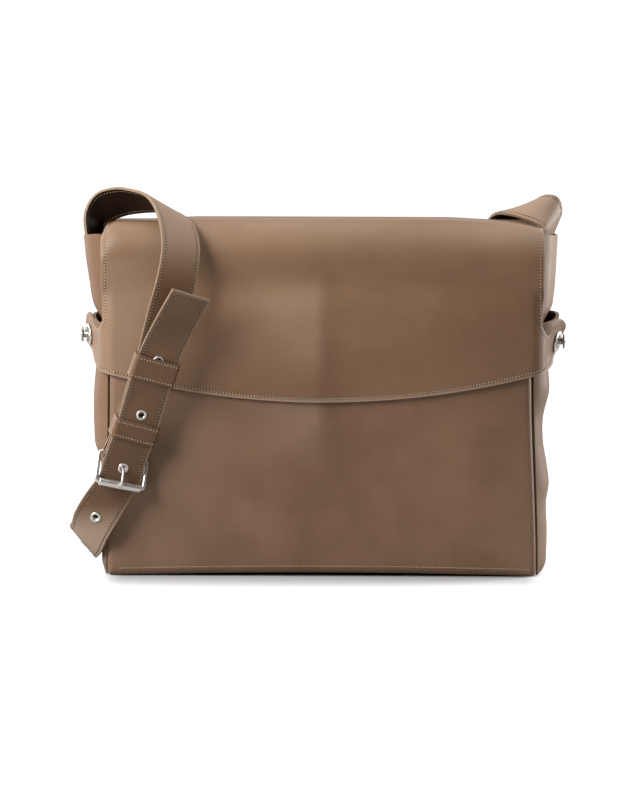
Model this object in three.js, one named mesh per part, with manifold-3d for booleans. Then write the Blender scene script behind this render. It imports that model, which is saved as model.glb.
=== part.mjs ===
// Leather messenger bag, closed and standing upright, its shoulder strap buckled at the left front.
// Millimetres. X runs to the right, Y to the back and Z up from the middle of the base's underside.
import * as THREE from 'three';
import { mergeGeometries, mergeVertices } from 'three/addons/utils/BufferGeometryUtils.js';
import Module from 'manifold-3d';

const wasm = await Module();
wasm.setup();

// Body: two walls that turn under at the bottom and back at the sides, with a flat base between them.
const WALL = 2;
const BODY = { half: 194, front: -55, back: 55, top: 294, roll: 7, hem: 10, turn: 2.5, height: 322 };
const SWELL = { front: 7, back: 0, half: 198, fullness: 0.6 };
const BASE = { length: 348, depth: 84 };

// Side walls, |X| at the seam, with the bow of the middle of the side (out) at each height.
const BOW = { power: 3.5, footHeight: 9 };
const GUSSET = { seam: 190, half: 45.5, footHalf: 37.5, corner: 11, end: 174.6, rows: 15 };
const GUSSET_TOP = { rise: 3, dip: 12, from: 0.85 };
const GUSSET_BOW = {
  left: [
    { z: 308.5, out: 28 }, { z: 288, out: 26 }, { z: 268, out: 23 }, { z: 252, out: 20.5 },
    { z: 243, out: 17.5 }, { z: 232, out: 11 }, { z: 218, out: 6.5 }, { z: 190, out: 6 },
    { z: 160, out: 6.5 }, { z: 118, out: 7 }, { z: 100, out: 6 }, { z: 60, out: 5 }, { z: 14, out: 6 },
  ],
  right: [
    { z: 309.5, out: 25 }, { z: 288, out: 24 }, { z: 268, out: 23 }, { z: 252, out: 21.5 },
    { z: 243, out: 19.5 }, { z: 232, out: 12.5 }, { z: 218, out: 7 }, { z: 190, out: 6.5 },
    { z: 160, out: 6.5 }, { z: 138, out: 5 }, { z: 100, out: 7 }, { z: 60, out: 7 }, { z: 14, out: 8 },
  ],
};

// Pocket panel over the lower part of each side wall, open along its top hem.
const POCKET = { seam: 196, half: 44, footHalf: 43, rows: 18 };
const POCKET_BOW = {
  left: [
    { z: 236, out: 12.8 }, { z: 225, out: 9.8 }, { z: 206, out: 9.3 }, { z: 186, out: 11 },
    { z: 160, out: 13 }, { z: 130, out: 12.5 }, { z: 117, out: 11.5 }, { z: 106, out: 7 },
    { z: 88, out: 5.5 }, { z: 50, out: 5.5 }, { z: 14, out: 5.5 }, { z: 7, out: 4 }, { z: 3.5, out: 1 },
  ],
  right: [
    { z: 238, out: 19 }, { z: 225, out: 12.5 }, { z: 208, out: 9.4 }, { z: 190, out: 10.2 },
    { z: 168, out: 10.5 }, { z: 152, out: 7.5 }, { z: 140, out: 5 }, { z: 125, out: 5.5 },
    { z: 102, out: 10 }, { z: 86, out: 12 }, { z: 68, out: 9.5 }, { z: 40, out: 10 },
    { z: 14, out: 8 }, { z: 7, out: 6 }, { z: 3.5, out: 2 },
  ],
};

// Flap: up the back, over the top and down the front, with an ear on each side.
const FLAP = { wall: 2.2, half: 200, front: -58.8, back: 58.8, hem: 252, backBend: 16, frontBend: 18 };
const FLAP_EDGE = { middle: 160, rise: 26 };
const FLAP_CORNER = { start: 188, radius: 14, full: 234, none: 266 };
const FLAP_COLUMNS = [0, 55, 105, 150, 175, 188, 194, 200];
const FLAP_FALL = { left: { from: 186, drop: 4 }, right: { from: 155, drop: 8 }, reach: 34 };
const EAR_LEAN = { from: 202, to: 236, below: -11 };
const EAR_SIDE = { left: { angle: 74, lean: 0.08, lift: 5 }, right: { angle: 72, lean: 0.2, lift: 0 } };
const EAR = [
  { run: 200, top: 228, bottom: 186 }, { run: 203.5, top: 223.5, bottom: 186.4 },
  { run: 209, top: 220.3, bottom: 187.6 }, { run: 217, top: 219.8, bottom: 190.2 },
  { run: 224, top: 223, bottom: 192.8 }, { run: 230, top: 228.5, bottom: 195 },
  { run: 238, top: 231.9, bottom: 197.5 }, { run: 248, top: 232.2, bottom: 200.5 },
  { run: 257, top: 227.5, bottom: 204 }, { run: 263, top: 218, bottom: 210 },
];
const EAR_ROWS = [0, 0.22, 0.5, 0.78, 1];

// Turn-lock: a post on the pocket, a slotted plate on the ear and the button that turns on the post.
const LOCK = { run: 246, z: 212.5, yaw: 12, slotLong: 16, slotTall: 9 };
const LOCK_PLATE = { long: 11, tall: 9.8, thick: 1.4, lift: 1.75 };
const LOCK_BASE = { radius: 7.5, back: -4.3, thick: 1.2, post: 3.2, end: 6.6 };
const BUTTON = { tall: 13.6, wide: 4.8, thick: 1.7, dome: 2.3, rise: 1.5, gap: 0.4 };

// Strap. Each row gives the middle of the strap, the heading of its width (yaw) and its fall (drop).
const STRAP = { width: 38, thick: 3, pitch: 4.8, steps: 3 };
const BUCKLE_STRAP = [
  { x: -201.6, y: 0, z: 258, yaw: 80, drop: 0 }, { x: -206.4, y: 0, z: 286, yaw: 78, drop: 0 },
  { x: -208.6, y: 0, z: 308, yaw: 76, drop: 2 }, { x: -210.5, y: -1, z: 321.5, yaw: 76, drop: 22 },
  { x: -204, y: -4, z: 332.8, yaw: 75, drop: 43 }, { x: -186, y: -6, z: 339, yaw: 66, drop: 39 },
  { x: -164, y: -17, z: 340, yaw: 45, drop: 32 }, { x: -145, y: -40, z: 336.5, yaw: 33, drop: 27 },
  { x: -132.5, y: -67, z: 324, yaw: 29, drop: 17 }, { x: -127, y: -84, z: 301, yaw: 30, drop: 8 },
  { x: -130.5, y: -95, z: 272, yaw: 27, drop: 7 }, { x: -138.2, y: -98.5, z: 240, yaw: 20, drop: 11.5 },
];
const HOLE_STRAP = [
  { x: 202.4, y: 0, z: 258, yaw: 82, drop: 0 }, { x: 206, y: 0, z: 286, yaw: 81, drop: 0 },
  { x: 206.2, y: 0, z: 305, yaw: 79, drop: -1 }, { x: 208.4, y: -0.5, z: 314.5, yaw: 75, drop: -10 },
  { x: 211.5, y: -1, z: 323.5, yaw: 65, drop: -25 }, { x: 205, y: 0, z: 331.5, yaw: 45, drop: -39 },
  { x: 193, y: 7, z: 334.5, yaw: 32, drop: -31 }, { x: 186, y: 25, z: 333, yaw: 20, drop: -22 },
  { x: 179, y: 45, z: 328, yaw: 10, drop: -8 }, { x: 172, y: 63, z: 315, yaw: 4, drop: 10 },
  { x: 158, y: 71, z: 290, yaw: 0, drop: 32 },
  { x: 122, y: 71, z: 259, yaw: 0, drop: 48 }, { x: 40, y: 69, z: 203, yaw: 0, drop: 54 },
  { x: -60, y: 69, z: 133, yaw: 0, drop: 55 }, { x: -150, y: 69, z: 75, yaw: 0, drop: 54 },
  { x: -190, y: 68, z: 49, yaw: 0, drop: 53 }, { x: -212, y: 56, z: 33, yaw: 0, drop: 52 },
  { x: -219.5, y: 34, z: 27, yaw: 0, drop: 52 }, { x: -219.5, y: -18, z: 27, yaw: 0, drop: 51 },
  { x: -215, y: -47, z: 32.5, yaw: 0, drop: 48 }, { x: -208, y: -69, z: 49.5, yaw: 5, drop: 37 },
  { x: -196.5, y: -75, z: 69.5, yaw: 11, drop: 24 },
];

// Buckle: up, right and ahead are measured from the strap's middle at the roller.
const BUCKLE = { x: -183.7, y: -76, z: 87.5, yaw: 18, drop: 12.5, lean: 16.5 };
const STRAIGHT = [
  { up: 4 }, { up: 12 }, { up: 24 }, { up: 44 }, { up: 60 }, { up: 80 }, { up: 100 }, { up: 122 },
];
const SHIFT = { right: 2.5, from: 14, to: 64 };
const BEND = { from: 95, rate: 0.0016 };
const TAIL = [
  { up: 136, right: 5.1, ahead: 0.6, yaw: 20.5, drop: 14 },
  { up: 152, right: 7.5, ahead: 2.4, yaw: 23, drop: 15 },
  { up: 170, right: 10.6, ahead: 4.8, yaw: 26, drop: 16 },
  { up: 188, right: 14.2, ahead: 7, yaw: 27, drop: 16.5 },
];
const HEEL = { up: 24, fold: 3.9, bar: 1.7, steps: 10, back: 46, settle: 12 };
const ROLLER = { ahead: 5.8, inner: 2.1, outer: 3.3, half: 19.3 };
const FRAME = { half: 22.6, corner: 2.7, steps: 40, sides: 8 };
const PRONG = { radius: 1.45, ring: 3.55, sides: 8, steps: 24 };
const PRONG_REACH = [
  { up: 15.7, ahead: -3.8 }, { up: 15, ahead: 0 }, { up: 14.3, ahead: 3.6 },
  { up: 10.8, ahead: 8 }, { up: 6.2, ahead: 10.5 }, { up: 0.2, ahead: 11.2 },
];
const PRONG_SLOT = { wide: 6, below: 8, above: 6, deep: 17 };
const EYELET = { hole: 2.6, barrel: 3, flange: 4.7, plate: 0.5, lift: 0.8, cut: 3.5 };
const HOLES = { pitch: 52.6, atProng: 3, count: 5 };
const KEEPER = { thick: 1.6, room: 0.7, radius: 2.6 };
const KEEPERS = [
  { name: 'keeper_upper', up: 110.5, tall: 22, layers: 2 },
  { name: 'keeper_lower', up: 50.4, tall: 18, layers: 3 },
];
const EYELET_ROOM = 3.3;

const leather = new THREE.MeshStandardMaterial({ color: 0x93755f, roughness: 0.55, metalness: 0 });
const flapLeather = new THREE.MeshStandardMaterial({ color: 0x9a7d67, roughness: 0.5, metalness: 0 });
const strapLeather = new THREE.MeshStandardMaterial({ color: 0x7f6653, roughness: 0.5, metalness: 0 });
const nickel = new THREE.MeshStandardMaterial({ color: 0xd6d4cf, roughness: 0.25, metalness: 1 });

const bag = new THREE.Group();
const UP = new THREE.Vector3(0, 0, 1);
const rad = THREE.MathUtils.degToRad;
const clamp = THREE.MathUtils.clamp;

function addPiece(name, geometry, material, parent = bag) {
  const mesh = new THREE.Mesh(geometry, material);
  mesh.name = name;
  parent.add(mesh);
  return mesh;
}

// Welds a geometry's shared vertices.
function welded(geometry) {
  geometry.deleteAttribute('normal');
  geometry.deleteAttribute('uv');
  const joined = mergeVertices(geometry, 1e-3);
  joined.computeVertexNormals();
  return joined;
}

// A net of points: one column value and one row value for each.
function net(columns, rows, pointAt) {
  const plane = new THREE.PlaneGeometry(1, 1, columns.length - 1, rows.length - 1);
  const place = plane.attributes.position;
  rows.forEach((row, j) => {
    columns.forEach((column, i) => {
      const p = pointAt(column, row);
      place.setXYZ(j * columns.length + i, p.x, p.y, p.z);
    });
  });
  return plane;
}

// Leather of even thickness over one or more nets that share their edges.
function hide(nets, thickness) {
  const middle = welded(mergeGeometries(nets));
  const place = middle.attributes.position;
  const normal = middle.attributes.normal;
  const count = place.count;
  const points = [];
  for (const side of [0.5, -0.5]) {
    for (let i = 0; i < count; i++) {
      const p = new THREE.Vector3().fromBufferAttribute(place, i);
      const n = new THREE.Vector3().fromBufferAttribute(normal, i);
      points.push(p.addScaledVector(n, side * thickness));
    }
  }
  const faces = [];
  const edges = new Map();
  const corners = middle.index.array;
  for (let f = 0; f < corners.length; f += 3) {
    const [a, b, c] = corners.slice(f, f + 3);
    faces.push(a, b, c, a + count, c + count, b + count);
    for (const [from, to] of [[a, b], [b, c], [c, a]]) {
      edges.set(`${from}>${to}`, [from, to]);
    }
  }
  for (const [from, to] of edges.values()) {
    if (!edges.has(`${to}>${from}`)) {
      faces.push(to, from, from + count, to, from + count, to + count);
    }
  }
  const shell = new THREE.BufferGeometry().setFromPoints(points);
  shell.setIndex(faces);
  shell.computeVertexNormals();
  return shell;
}

function toSolid(geometry) {
  const joined = welded(geometry.clone());
  const vertProperties = new Float32Array(joined.attributes.position.array);
  const triVerts = new Uint32Array(joined.index.array);
  return new wasm.Manifold(new wasm.Mesh({ numProp: 3, vertProperties, triVerts }));
}

function fromSolid(solid) {
  const mesh = solid.getMesh();
  const geometry = new THREE.BufferGeometry();
  geometry.setAttribute('position', new THREE.Float32BufferAttribute(mesh.vertProperties, 3));
  geometry.setIndex(Array.from(mesh.triVerts));
  geometry.computeVertexNormals();
  return geometry;
}

function cut(geometry, cutters) {
  let solid = toSolid(geometry);
  for (const cutter of cutters) {
    solid = solid.subtract(toSolid(cutter));
  }
  return fromSolid(solid);
}

// Heights and bows down a side, smoothed through the rows of its table.
function bowRows(table, steps) {
  const line = new THREE.SplineCurve(table.map((row) => new THREE.Vector2(row.z, row.out)));
  return line.getPoints(steps).map((p) => ({ z: p.x, out: p.y }));
}

// Positions -1 to 1 across a side, closer together near its seams.
function acrossSide(steps) {
  return Array.from({ length: steps + 1 }, (_, i) => Math.sin((i / steps - 0.5) * Math.PI));
}

function swell(amount, x, z) {
  const wide = Math.max(0, 1 - (x / SWELL.half) ** 4);
  const tall = Math.sin(Math.PI * clamp(z / BODY.height, 0, 1)) ** SWELL.fullness;
  return amount * wide * tall;
}

// Front and back walls: columns run round the turned sides, rows run down and under.
function wallPanel(face, amount) {
  const flat = BODY.half - BODY.roll;
  const columns = [];
  for (let i = 0; i <= 3; i++) {
    const turn = rad(90 - i * 30);
    columns.push({ x: -flat - BODY.roll * Math.sin(turn), in: BODY.roll * (1 - Math.cos(turn)) });
  }
  for (const share of [-0.7, -0.35, 0]) {
    columns.push({ x: share * flat, in: 0 });
  }
  const right = columns.slice(0, -1).reverse();
  columns.push(...right.map((column) => ({ x: -column.x, in: column.in })));
  const rows = [BODY.top, 245, 190, 135, 85, 40].map((z) => ({ z, in: 0 }));
  for (let i = 0; i <= 4; i++) {
    const turn = rad(i * 22.5);
    rows.push({ z: WALL / 2 + BODY.hem * (1 - Math.sin(turn)), in: BODY.hem * (1 - Math.cos(turn)) });
  }
  rows.push({ z: WALL / 2, in: BODY.hem + BODY.turn });
  const toward = Math.sign(face);
  const grid = net(columns, rows, (column, row) => {
    const inward = Math.hypot(column.in, row.in) - swell(amount, column.x, row.z);
    return new THREE.Vector3(column.x, face - toward * inward, row.z);
  });
  return hide([grid], WALL);
}

function sidePoint(side, seam, half, f, row) {
  const bow = row.out * (1 - Math.abs(f) ** BOW.power);
  return new THREE.Vector3(side * (seam + bow), f * half, row.z);
}

// The depth of a side narrows over the bottom corner.
function halfDepth(piece, z) {
  return THREE.MathUtils.lerp(piece.footHalf, piece.half, THREE.MathUtils.smoothstep(z, 0, BOW.footHeight));
}

function gusset(side, table) {
  const rows = bowRows(table, GUSSET.rows);
  const foot = rows[rows.length - 1];
  for (let i = 1; i <= 4; i++) {
    const turn = rad(i * 22.5);
    const z = foot.z - (foot.z - WALL / 2) * Math.sin(turn);
    rows.push({ z, out: foot.out - GUSSET.corner * (1 - Math.cos(turn)), under: i / 4 });
  }
  rows.push({ z: WALL / 2, out: 0, end: true });
  const grid = net(acrossSide(8), rows, (f, row) => {
    const p = sidePoint(side, GUSSET.seam, halfDepth(GUSSET, row.z), f, row);
    if (row.under) {
      const bow = foot.out * (1 - Math.abs(f) ** BOW.power) * (1 - row.under);
      p.x = side * (GUSSET.seam + bow + row.out - foot.out);
    }
    if (row.end) {
      p.x = side * GUSSET.end;
    }
    if (row === rows[0]) {
      const under = THREE.MathUtils.smoothstep(Math.abs(f), GUSSET_TOP.from, 1);
      p.z += GUSSET_TOP.rise * f * f - GUSSET_TOP.dip * under;
    }
    return p;
  });
  return hide([grid], WALL);
}

function pocket(side, table) {
  const rows = bowRows(table, POCKET.rows);
  const grid = net(acrossSide(8), rows, (f, row) => {
    return sidePoint(side, POCKET.seam, halfDepth(POCKET, row.z), f, row);
  });
  return hide([grid], WALL);
}

// How far the flap's top sinks towards each corner.
function cornerFall(x, z) {
  const corner = x < 0 ? FLAP_FALL.left : FLAP_FALL.right;
  const share = clamp((Math.abs(x) - corner.from) / (FLAP.half - corner.from), 0, 1);
  const near = THREE.MathUtils.smoothstep(z, BODY.height - FLAP.frontBend - FLAP_FALL.reach, BODY.height - 8);
  return corner.drop * share * share * near;
}

function earSide(run) {
  return run < 0 ? EAR_SIDE.left : EAR_SIDE.right;
}

function lockHeight(side) {
  return LOCK.z + earSide(side).lift;
}

// A point of the flap: its run across the flat leather, and the depth and height of its row.
function flapPoint(run, y, z) {
  const side = Math.sign(run);
  const reach = Math.abs(run);
  const p = new THREE.Vector3(run, y, z);
  if (y === FLAP.front) {
    p.y -= swell(SWELL.front, run, z);
  }
  if (y === FLAP.front && reach > FLAP_CORNER.start) {
    const ear = earSide(run);
    const hold = 1 - THREE.MathUtils.smoothstep(z, FLAP_CORNER.full + ear.lift, FLAP_CORNER.none);
    const past = reach - FLAP_CORNER.start;
    const turn = Math.min(past / FLAP_CORNER.radius, rad(ear.angle) * hold);
    const straight = past - turn * FLAP_CORNER.radius;
    const hung = THREE.MathUtils.smoothstep(reach, EAR_LEAN.from, EAR_LEAN.to);
    const lean = ear.lean * Math.max(z - lockHeight(side), EAR_LEAN.below) * hung;
    const out = FLAP_CORNER.radius * Math.sin(turn) + straight * Math.cos(turn) + lean;
    p.x = side * (FLAP_CORNER.start + out);
    p.y += FLAP_CORNER.radius * (1 - Math.cos(turn)) + straight * Math.sin(turn);
  }
  p.z -= cornerFall(p.x, z);
  return p;
}

// Height of the flap above its lower edge where the ears begin.
function earTop(run) {
  const near = THREE.MathUtils.smoothstep(Math.abs(run), FLAP_COLUMNS[4], FLAP.half);
  return EAR[0].top + earSide(run).lift * near;
}

function flap() {
  const left = FLAP_COLUMNS.slice(1).reverse();
  const columns = [...left.map((run) => -run), ...FLAP_COLUMNS];
  const top = BODY.height - FLAP.wall / 2;
  const rows = [{ y: FLAP.back, z: FLAP.hem }, { y: FLAP.back, z: FLAP.hem + 26 }];
  for (let i = 0; i <= 4; i++) {
    const turn = rad(i * 22.5);
    const y = FLAP.back - FLAP.backBend * (1 - Math.cos(turn));
    rows.push({ y, z: top - FLAP.backBend * (1 - Math.sin(turn)) });
  }
  for (const share of [0.33, 0.67]) {
    const y = THREE.MathUtils.lerp(FLAP.back - FLAP.backBend, FLAP.front + FLAP.frontBend, share);
    rows.push({ y, z: top });
  }
  for (let i = 4; i >= 1; i--) {
    const turn = rad(i * 22.5);
    const y = FLAP.front + FLAP.frontBend * (1 - Math.cos(turn));
    rows.push({ y, z: top - FLAP.frontBend * (1 - Math.sin(turn)) });
  }
  for (const z of [top - FLAP.frontBend, 284, 264, 247]) {
    rows.push({ y: FLAP.front, z });
  }
  rows.push({ y: FLAP.front, ears: true });
  const upper = net(columns, rows, (run, row) => flapPoint(run, row.y, row.ears ? earTop(run) : row.z));
  const lower = net(columns, EAR_ROWS, (run, share) => {
    const edge = FLAP_EDGE.middle + FLAP_EDGE.rise * (run / FLAP.half) ** 2;
    return flapPoint(run, FLAP.front, THREE.MathUtils.lerp(earTop(run), edge, share));
  });
  const ears = [-1, 1].map((side) => {
    const order = side > 0 ? EAR : [...EAR].reverse();
    const { lift } = earSide(side);
    return net(order, EAR_ROWS, (row, share) => {
      const low = row.bottom + lift * THREE.MathUtils.smoothstep(row.run, EAR[0].run, LOCK.run);
      return flapPoint(side * row.run, FLAP.front, THREE.MathUtils.lerp(row.top + lift, low, share));
    });
  });
  return hide([upper, lower, ...ears], FLAP.wall);
}

// A slot outline with round ends, lying along X.
function slotShape(long, tall) {
  const r = tall / 2;
  const flat = long / 2 - r;
  const shape = new THREE.Shape();
  shape.absarc(flat, 0, r, -Math.PI / 2, Math.PI / 2);
  shape.absarc(-flat, 0, r, Math.PI / 2, Math.PI * 1.5);
  shape.closePath();
  return shape;
}

function plate(shape, depth, z, curveSegments = 8) {
  return new THREE.ExtrudeGeometry(shape, { depth, bevelEnabled: false, curveSegments }).translate(0, 0, z);
}

// Place of a turn-lock: its Z points out of the side, its Y up.
function lockPlace(side) {
  const spot = flapPoint(side * LOCK.run, FLAP.front, lockHeight(side));
  const out = new THREE.Vector3(side * Math.cos(rad(LOCK.yaw)), -Math.sin(rad(LOCK.yaw)), 0);
  const along = new THREE.Vector3().crossVectors(UP, out);
  return new THREE.Matrix4().makeBasis(along, UP, out).setPosition(spot);
}

// Place of the slotted plate: flat on the ear's outer face.
function platePlace(side) {
  const z = lockHeight(side);
  const spot = flapPoint(side * LOCK.run, FLAP.front, z);
  const along = flapPoint(side * LOCK.run + 1, FLAP.front, z).sub(spot).normalize();
  const rise = flapPoint(side * LOCK.run, FLAP.front, z + 1).sub(spot).normalize();
  const out = new THREE.Vector3().crossVectors(along, rise).normalize();
  rise.crossVectors(out, along);
  return new THREE.Matrix4().makeBasis(along, rise, out).setPosition(spot);
}

function lockPlate() {
  const shape = new THREE.Shape();
  shape.absellipse(0, 0, LOCK_PLATE.long, LOCK_PLATE.tall, 0, Math.PI * 2);
  shape.holes.push(slotShape(LOCK.slotLong, LOCK.slotTall));
  return plate(shape, LOCK_PLATE.thick, LOCK_PLATE.lift, 7);
}

function lockBase() {
  const front = LOCK_BASE.back + LOCK_BASE.thick;
  const outline = [
    [0, LOCK_BASE.back], [LOCK_BASE.radius, LOCK_BASE.back], [LOCK_BASE.radius, front],
    [LOCK_BASE.post, front], [LOCK_BASE.post, LOCK_BASE.end], [0, LOCK_BASE.end],
  ];
  return new THREE.LatheGeometry(outline.map(([r, y]) => new THREE.Vector2(r, y)), 12).rotateX(Math.PI / 2);
}

function turnButton() {
  const foot = LOCK_BASE.end + BUTTON.gap;
  const wing = plate(slotShape(BUTTON.tall, BUTTON.wide), BUTTON.thick, foot).rotateZ(Math.PI / 2);
  const start = foot + BUTTON.thick / 2;
  const outline = [[0, start], [BUTTON.dome, start], [BUTTON.dome, foot + BUTTON.thick]];
  for (let i = 1; i <= 3; i++) {
    const turn = rad(i * 30);
    outline.push([BUTTON.dome * Math.cos(turn), foot + BUTTON.thick + BUTTON.rise * Math.sin(turn)]);
  }
  outline[outline.length - 1][0] = 0;
  const points = outline.map(([r, y]) => new THREE.Vector2(r, y));
  const dome = new THREE.LatheGeometry(points, 12).rotateX(Math.PI / 2);
  return fromSolid(toSolid(wing).add(toSolid(dome)));
}

// Width direction of a strap row.
function across(yaw, drop) {
  const level = Math.cos(rad(drop));
  return new THREE.Vector3(Math.cos(rad(yaw)) * level, Math.sin(rad(yaw)) * level, -Math.sin(rad(drop)));
}

function strapRow(row) {
  return { centre: new THREE.Vector3(row.x, row.y, row.z), across: across(row.yaw, row.drop) };
}

// The strap's sections, smoothed through its rows.
function course(rows, steps) {
  const middle = new THREE.CatmullRomCurve3(rows.map((row) => row.centre), false, 'catmullrom', 0.5);
  const width = new THREE.CatmullRomCurve3(rows.map((row) => row.across), false, 'catmullrom', 0.5);
  const count = (rows.length - 1) * steps;
  return Array.from({ length: count + 1 }, (_, i) => {
    return { centre: middle.getPoint(i / count), across: width.getPoint(i / count).normalize() };
  });
}

function ribbon(sections) {
  const shares = [-0.5, 0.5];
  const grid = net(shares, sections, (share, section) => {
    return section.centre.clone().addScaledVector(section.across, share * STRAP.width);
  });
  return hide([grid], STRAP.thick);
}

// The buckle's own directions, and points measured along them.
const wide = across(BUCKLE.yaw, BUCKLE.drop);
const upright = new THREE.Vector3(Math.sin(rad(BUCKLE.lean)), 0, Math.cos(rad(BUCKLE.lean)));
upright.y = -(upright.x * wide.x + upright.z * wide.z) / wide.y;
upright.normalize();
const ahead = new THREE.Vector3().crossVectors(wide, upright);

function buckleSpot(up, right, forward) {
  const p = new THREE.Vector3(BUCKLE.x, BUCKLE.y, BUCKLE.z);
  return p.addScaledVector(upright, up).addScaledVector(wide, right).addScaledVector(ahead, forward);
}

// Both straps move over to the right above the buckle, and lean further that way above the lower keeper.
function leaning(up, forward) {
  const past = Math.max(0, up - BEND.from);
  const right = SHIFT.right * THREE.MathUtils.smoothstep(up, SHIFT.from, SHIFT.to) + BEND.rate * past * past;
  return { centre: buckleSpot(up, right, forward), across: wide.clone() };
}

function buckleStrapSections() {
  const under = STRAIGHT.filter((row) => row.up >= HEEL.up).reverse();
  const rows = [...BUCKLE_STRAP.map(strapRow), ...under.map((row) => leaning(row.up, -STRAP.pitch))];
  const sections = course(rows, STRAP.steps);
  const bar = -STRAP.pitch - HEEL.fold;
  for (let i = 1; i <= HEEL.steps; i++) {
    const turn = Math.PI * (i / HEEL.steps);
    const up = HEEL.up - HEEL.fold * Math.sin(turn);
    sections.push({ centre: buckleSpot(up, 0, bar + HEEL.fold * Math.cos(turn)), across: wide.clone() });
  }
  for (let i = 1; i <= 6; i++) {
    const rise = (HEEL.back * i) / 6;
    const close = THREE.MathUtils.smoothstep(rise, 0, HEEL.settle);
    const forward = THREE.MathUtils.lerp(bar - HEEL.fold, -2 * STRAP.pitch, close);
    sections.push(leaning(HEEL.up + rise, forward));
  }
  return sections;
}

function holeStrapSections() {
  const tail = TAIL.map((row) => {
    return { centre: buckleSpot(row.up, row.right, row.ahead), across: across(row.yaw, row.drop) };
  });
  const rows = [...HOLE_STRAP.map(strapRow), ...STRAIGHT.map((row) => leaning(row.up, 0)), ...tail];
  return course(rows, STRAP.steps);
}

// Place on a strap at a length along it: X across, Y out of its face, Z along.
function strapPlace(sections, length) {
  let before = 0;
  for (let i = 1; i < sections.length; i++) {
    const [from, to] = [sections[i - 1], sections[i]];
    const step = from.centre.distanceTo(to.centre);
    if (before + step >= length) {
      const share = (length - before) / step;
      const width = from.across.clone().lerp(to.across, share).normalize();
      const along = to.centre.clone().sub(from.centre).normalize();
      const out = new THREE.Vector3().crossVectors(along, width).normalize();
      along.crossVectors(width, out);
      const centre = from.centre.clone().lerp(to.centre, share);
      return new THREE.Matrix4().makeBasis(width, out, along).setPosition(centre);
    }
    before += step;
  }
  return null;
}

function lengthNear(sections, point) {
  let length = 0;
  let best = { gap: Infinity, length: 0 };
  sections.forEach((section, i) => {
    length += i ? section.centre.distanceTo(sections[i - 1].centre) : 0;
    const gap = section.centre.distanceTo(point);
    const rise = point.clone().sub(section.centre).dot(upright);
    best = gap < best.gap ? { gap, length: length + rise } : best;
  });
  return best.length;
}

function eyelet() {
  const h = STRAP.thick / 2 + EYELET.lift + EYELET.plate;
  const inner = h - EYELET.plate;
  const outline = [
    [EYELET.hole, -h], [EYELET.flange, -h], [EYELET.flange, -inner], [EYELET.barrel, -inner],
    [EYELET.barrel, inner], [EYELET.flange, inner], [EYELET.flange, h], [EYELET.hole, h], [EYELET.hole, -h],
  ];
  return new THREE.LatheGeometry(outline.map(([r, y]) => new THREE.Vector2(r, y)), 11);
}

function roundedBox(wideBy, deep, radius, Kind = THREE.Shape) {
  const [x, y] = [wideBy / 2 - radius, deep / 2 - radius];
  const shape = new Kind();
  shape.absarc(x, y, radius, 0, Math.PI / 2);
  shape.absarc(-x, y, radius, Math.PI / 2, Math.PI);
  shape.absarc(-x, -y, radius, Math.PI, Math.PI * 1.5);
  shape.absarc(x, -y, radius, Math.PI * 1.5, Math.PI * 2);
  shape.closePath();
  return shape;
}

// A keeper: a leather loop round two or three layers of strap.
function keeper(tall, layers) {
  const behind = -STRAP.thick / 2 - KEEPER.room - STRAP.pitch * (layers - 1);
  const front = layers > 2 ? STRAP.thick / 2 + KEEPER.room : EYELET_ROOM;
  const inner = [STRAP.width + 2 * KEEPER.room, front - behind];
  const shape = roundedBox(inner[0] + 2 * KEEPER.thick, inner[1] + 2 * KEEPER.thick, KEEPER.radius);
  shape.holes.push(roundedBox(inner[0], inner[1], KEEPER.radius - KEEPER.thick, THREE.Path));
  const loop = plate(shape, tall, -tall / 2, 3);
  return loop.translate(0, (front + behind) / 2, 0);
}

// The buckle's wire: a ring of round section bent along a rounded box.
const heel = { up: HEEL.up, ahead: -STRAP.pitch - HEEL.fold };
const frameRise = new THREE.Vector2(heel.up, heel.ahead - ROLLER.ahead);

function buckleFrame() {
  const ring = new THREE.TorusGeometry(1, 0.3, FRAME.sides, FRAME.steps);
  const line = roundedBox(2 * FRAME.half, frameRise.length(), FRAME.corner, THREE.Path);
  const { position, uv } = ring.attributes;
  for (let i = 0; i < position.count; i++) {
    const share = uv.getX(i) % 1;
    const turn = (uv.getY(i) % 1) * Math.PI * 2;
    const p = line.getPointAt(share);
    const t = line.getTangentAt(share);
    const out = HEEL.bar * Math.cos(turn);
    position.setXYZ(i, p.x + t.y * out, p.y - t.x * out, HEEL.bar * Math.sin(turn));
  }
  return welded(ring);
}

function buckleRoller() {
  const { inner, outer, half } = ROLLER;
  const outline = [[inner, -half], [outer, -half], [outer, half], [inner, half], [inner, -half]];
  return new THREE.LatheGeometry(outline.map(([r, y]) => new THREE.Vector2(r, y)), 16).rotateZ(Math.PI / 2);
}

// The prong: most of a ring round the heel bar, then out through the hole and down over the roller.
function buckleProng() {
  const points = [];
  for (let angle = 110; angle >= -150; angle -= 26) {
    const up = heel.up + PRONG.ring * Math.sin(rad(angle));
    points.push(buckleSpot(up, 0, heel.ahead - PRONG.ring * Math.cos(rad(angle))));
  }
  points.push(...PRONG_REACH.map((row) => buckleSpot(row.up, 0, row.ahead)));
  const extrudePath = new THREE.CatmullRomCurve3(points, false, 'centripetal');
  const round = new THREE.Shape().absarc(0, 0, PRONG.radius, 0, Math.PI * 2);
  const options = { extrudePath, steps: PRONG.steps, curveSegments: PRONG.sides / 2, bevelEnabled: false };
  return welded(new THREE.ExtrudeGeometry(round, options));
}

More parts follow.
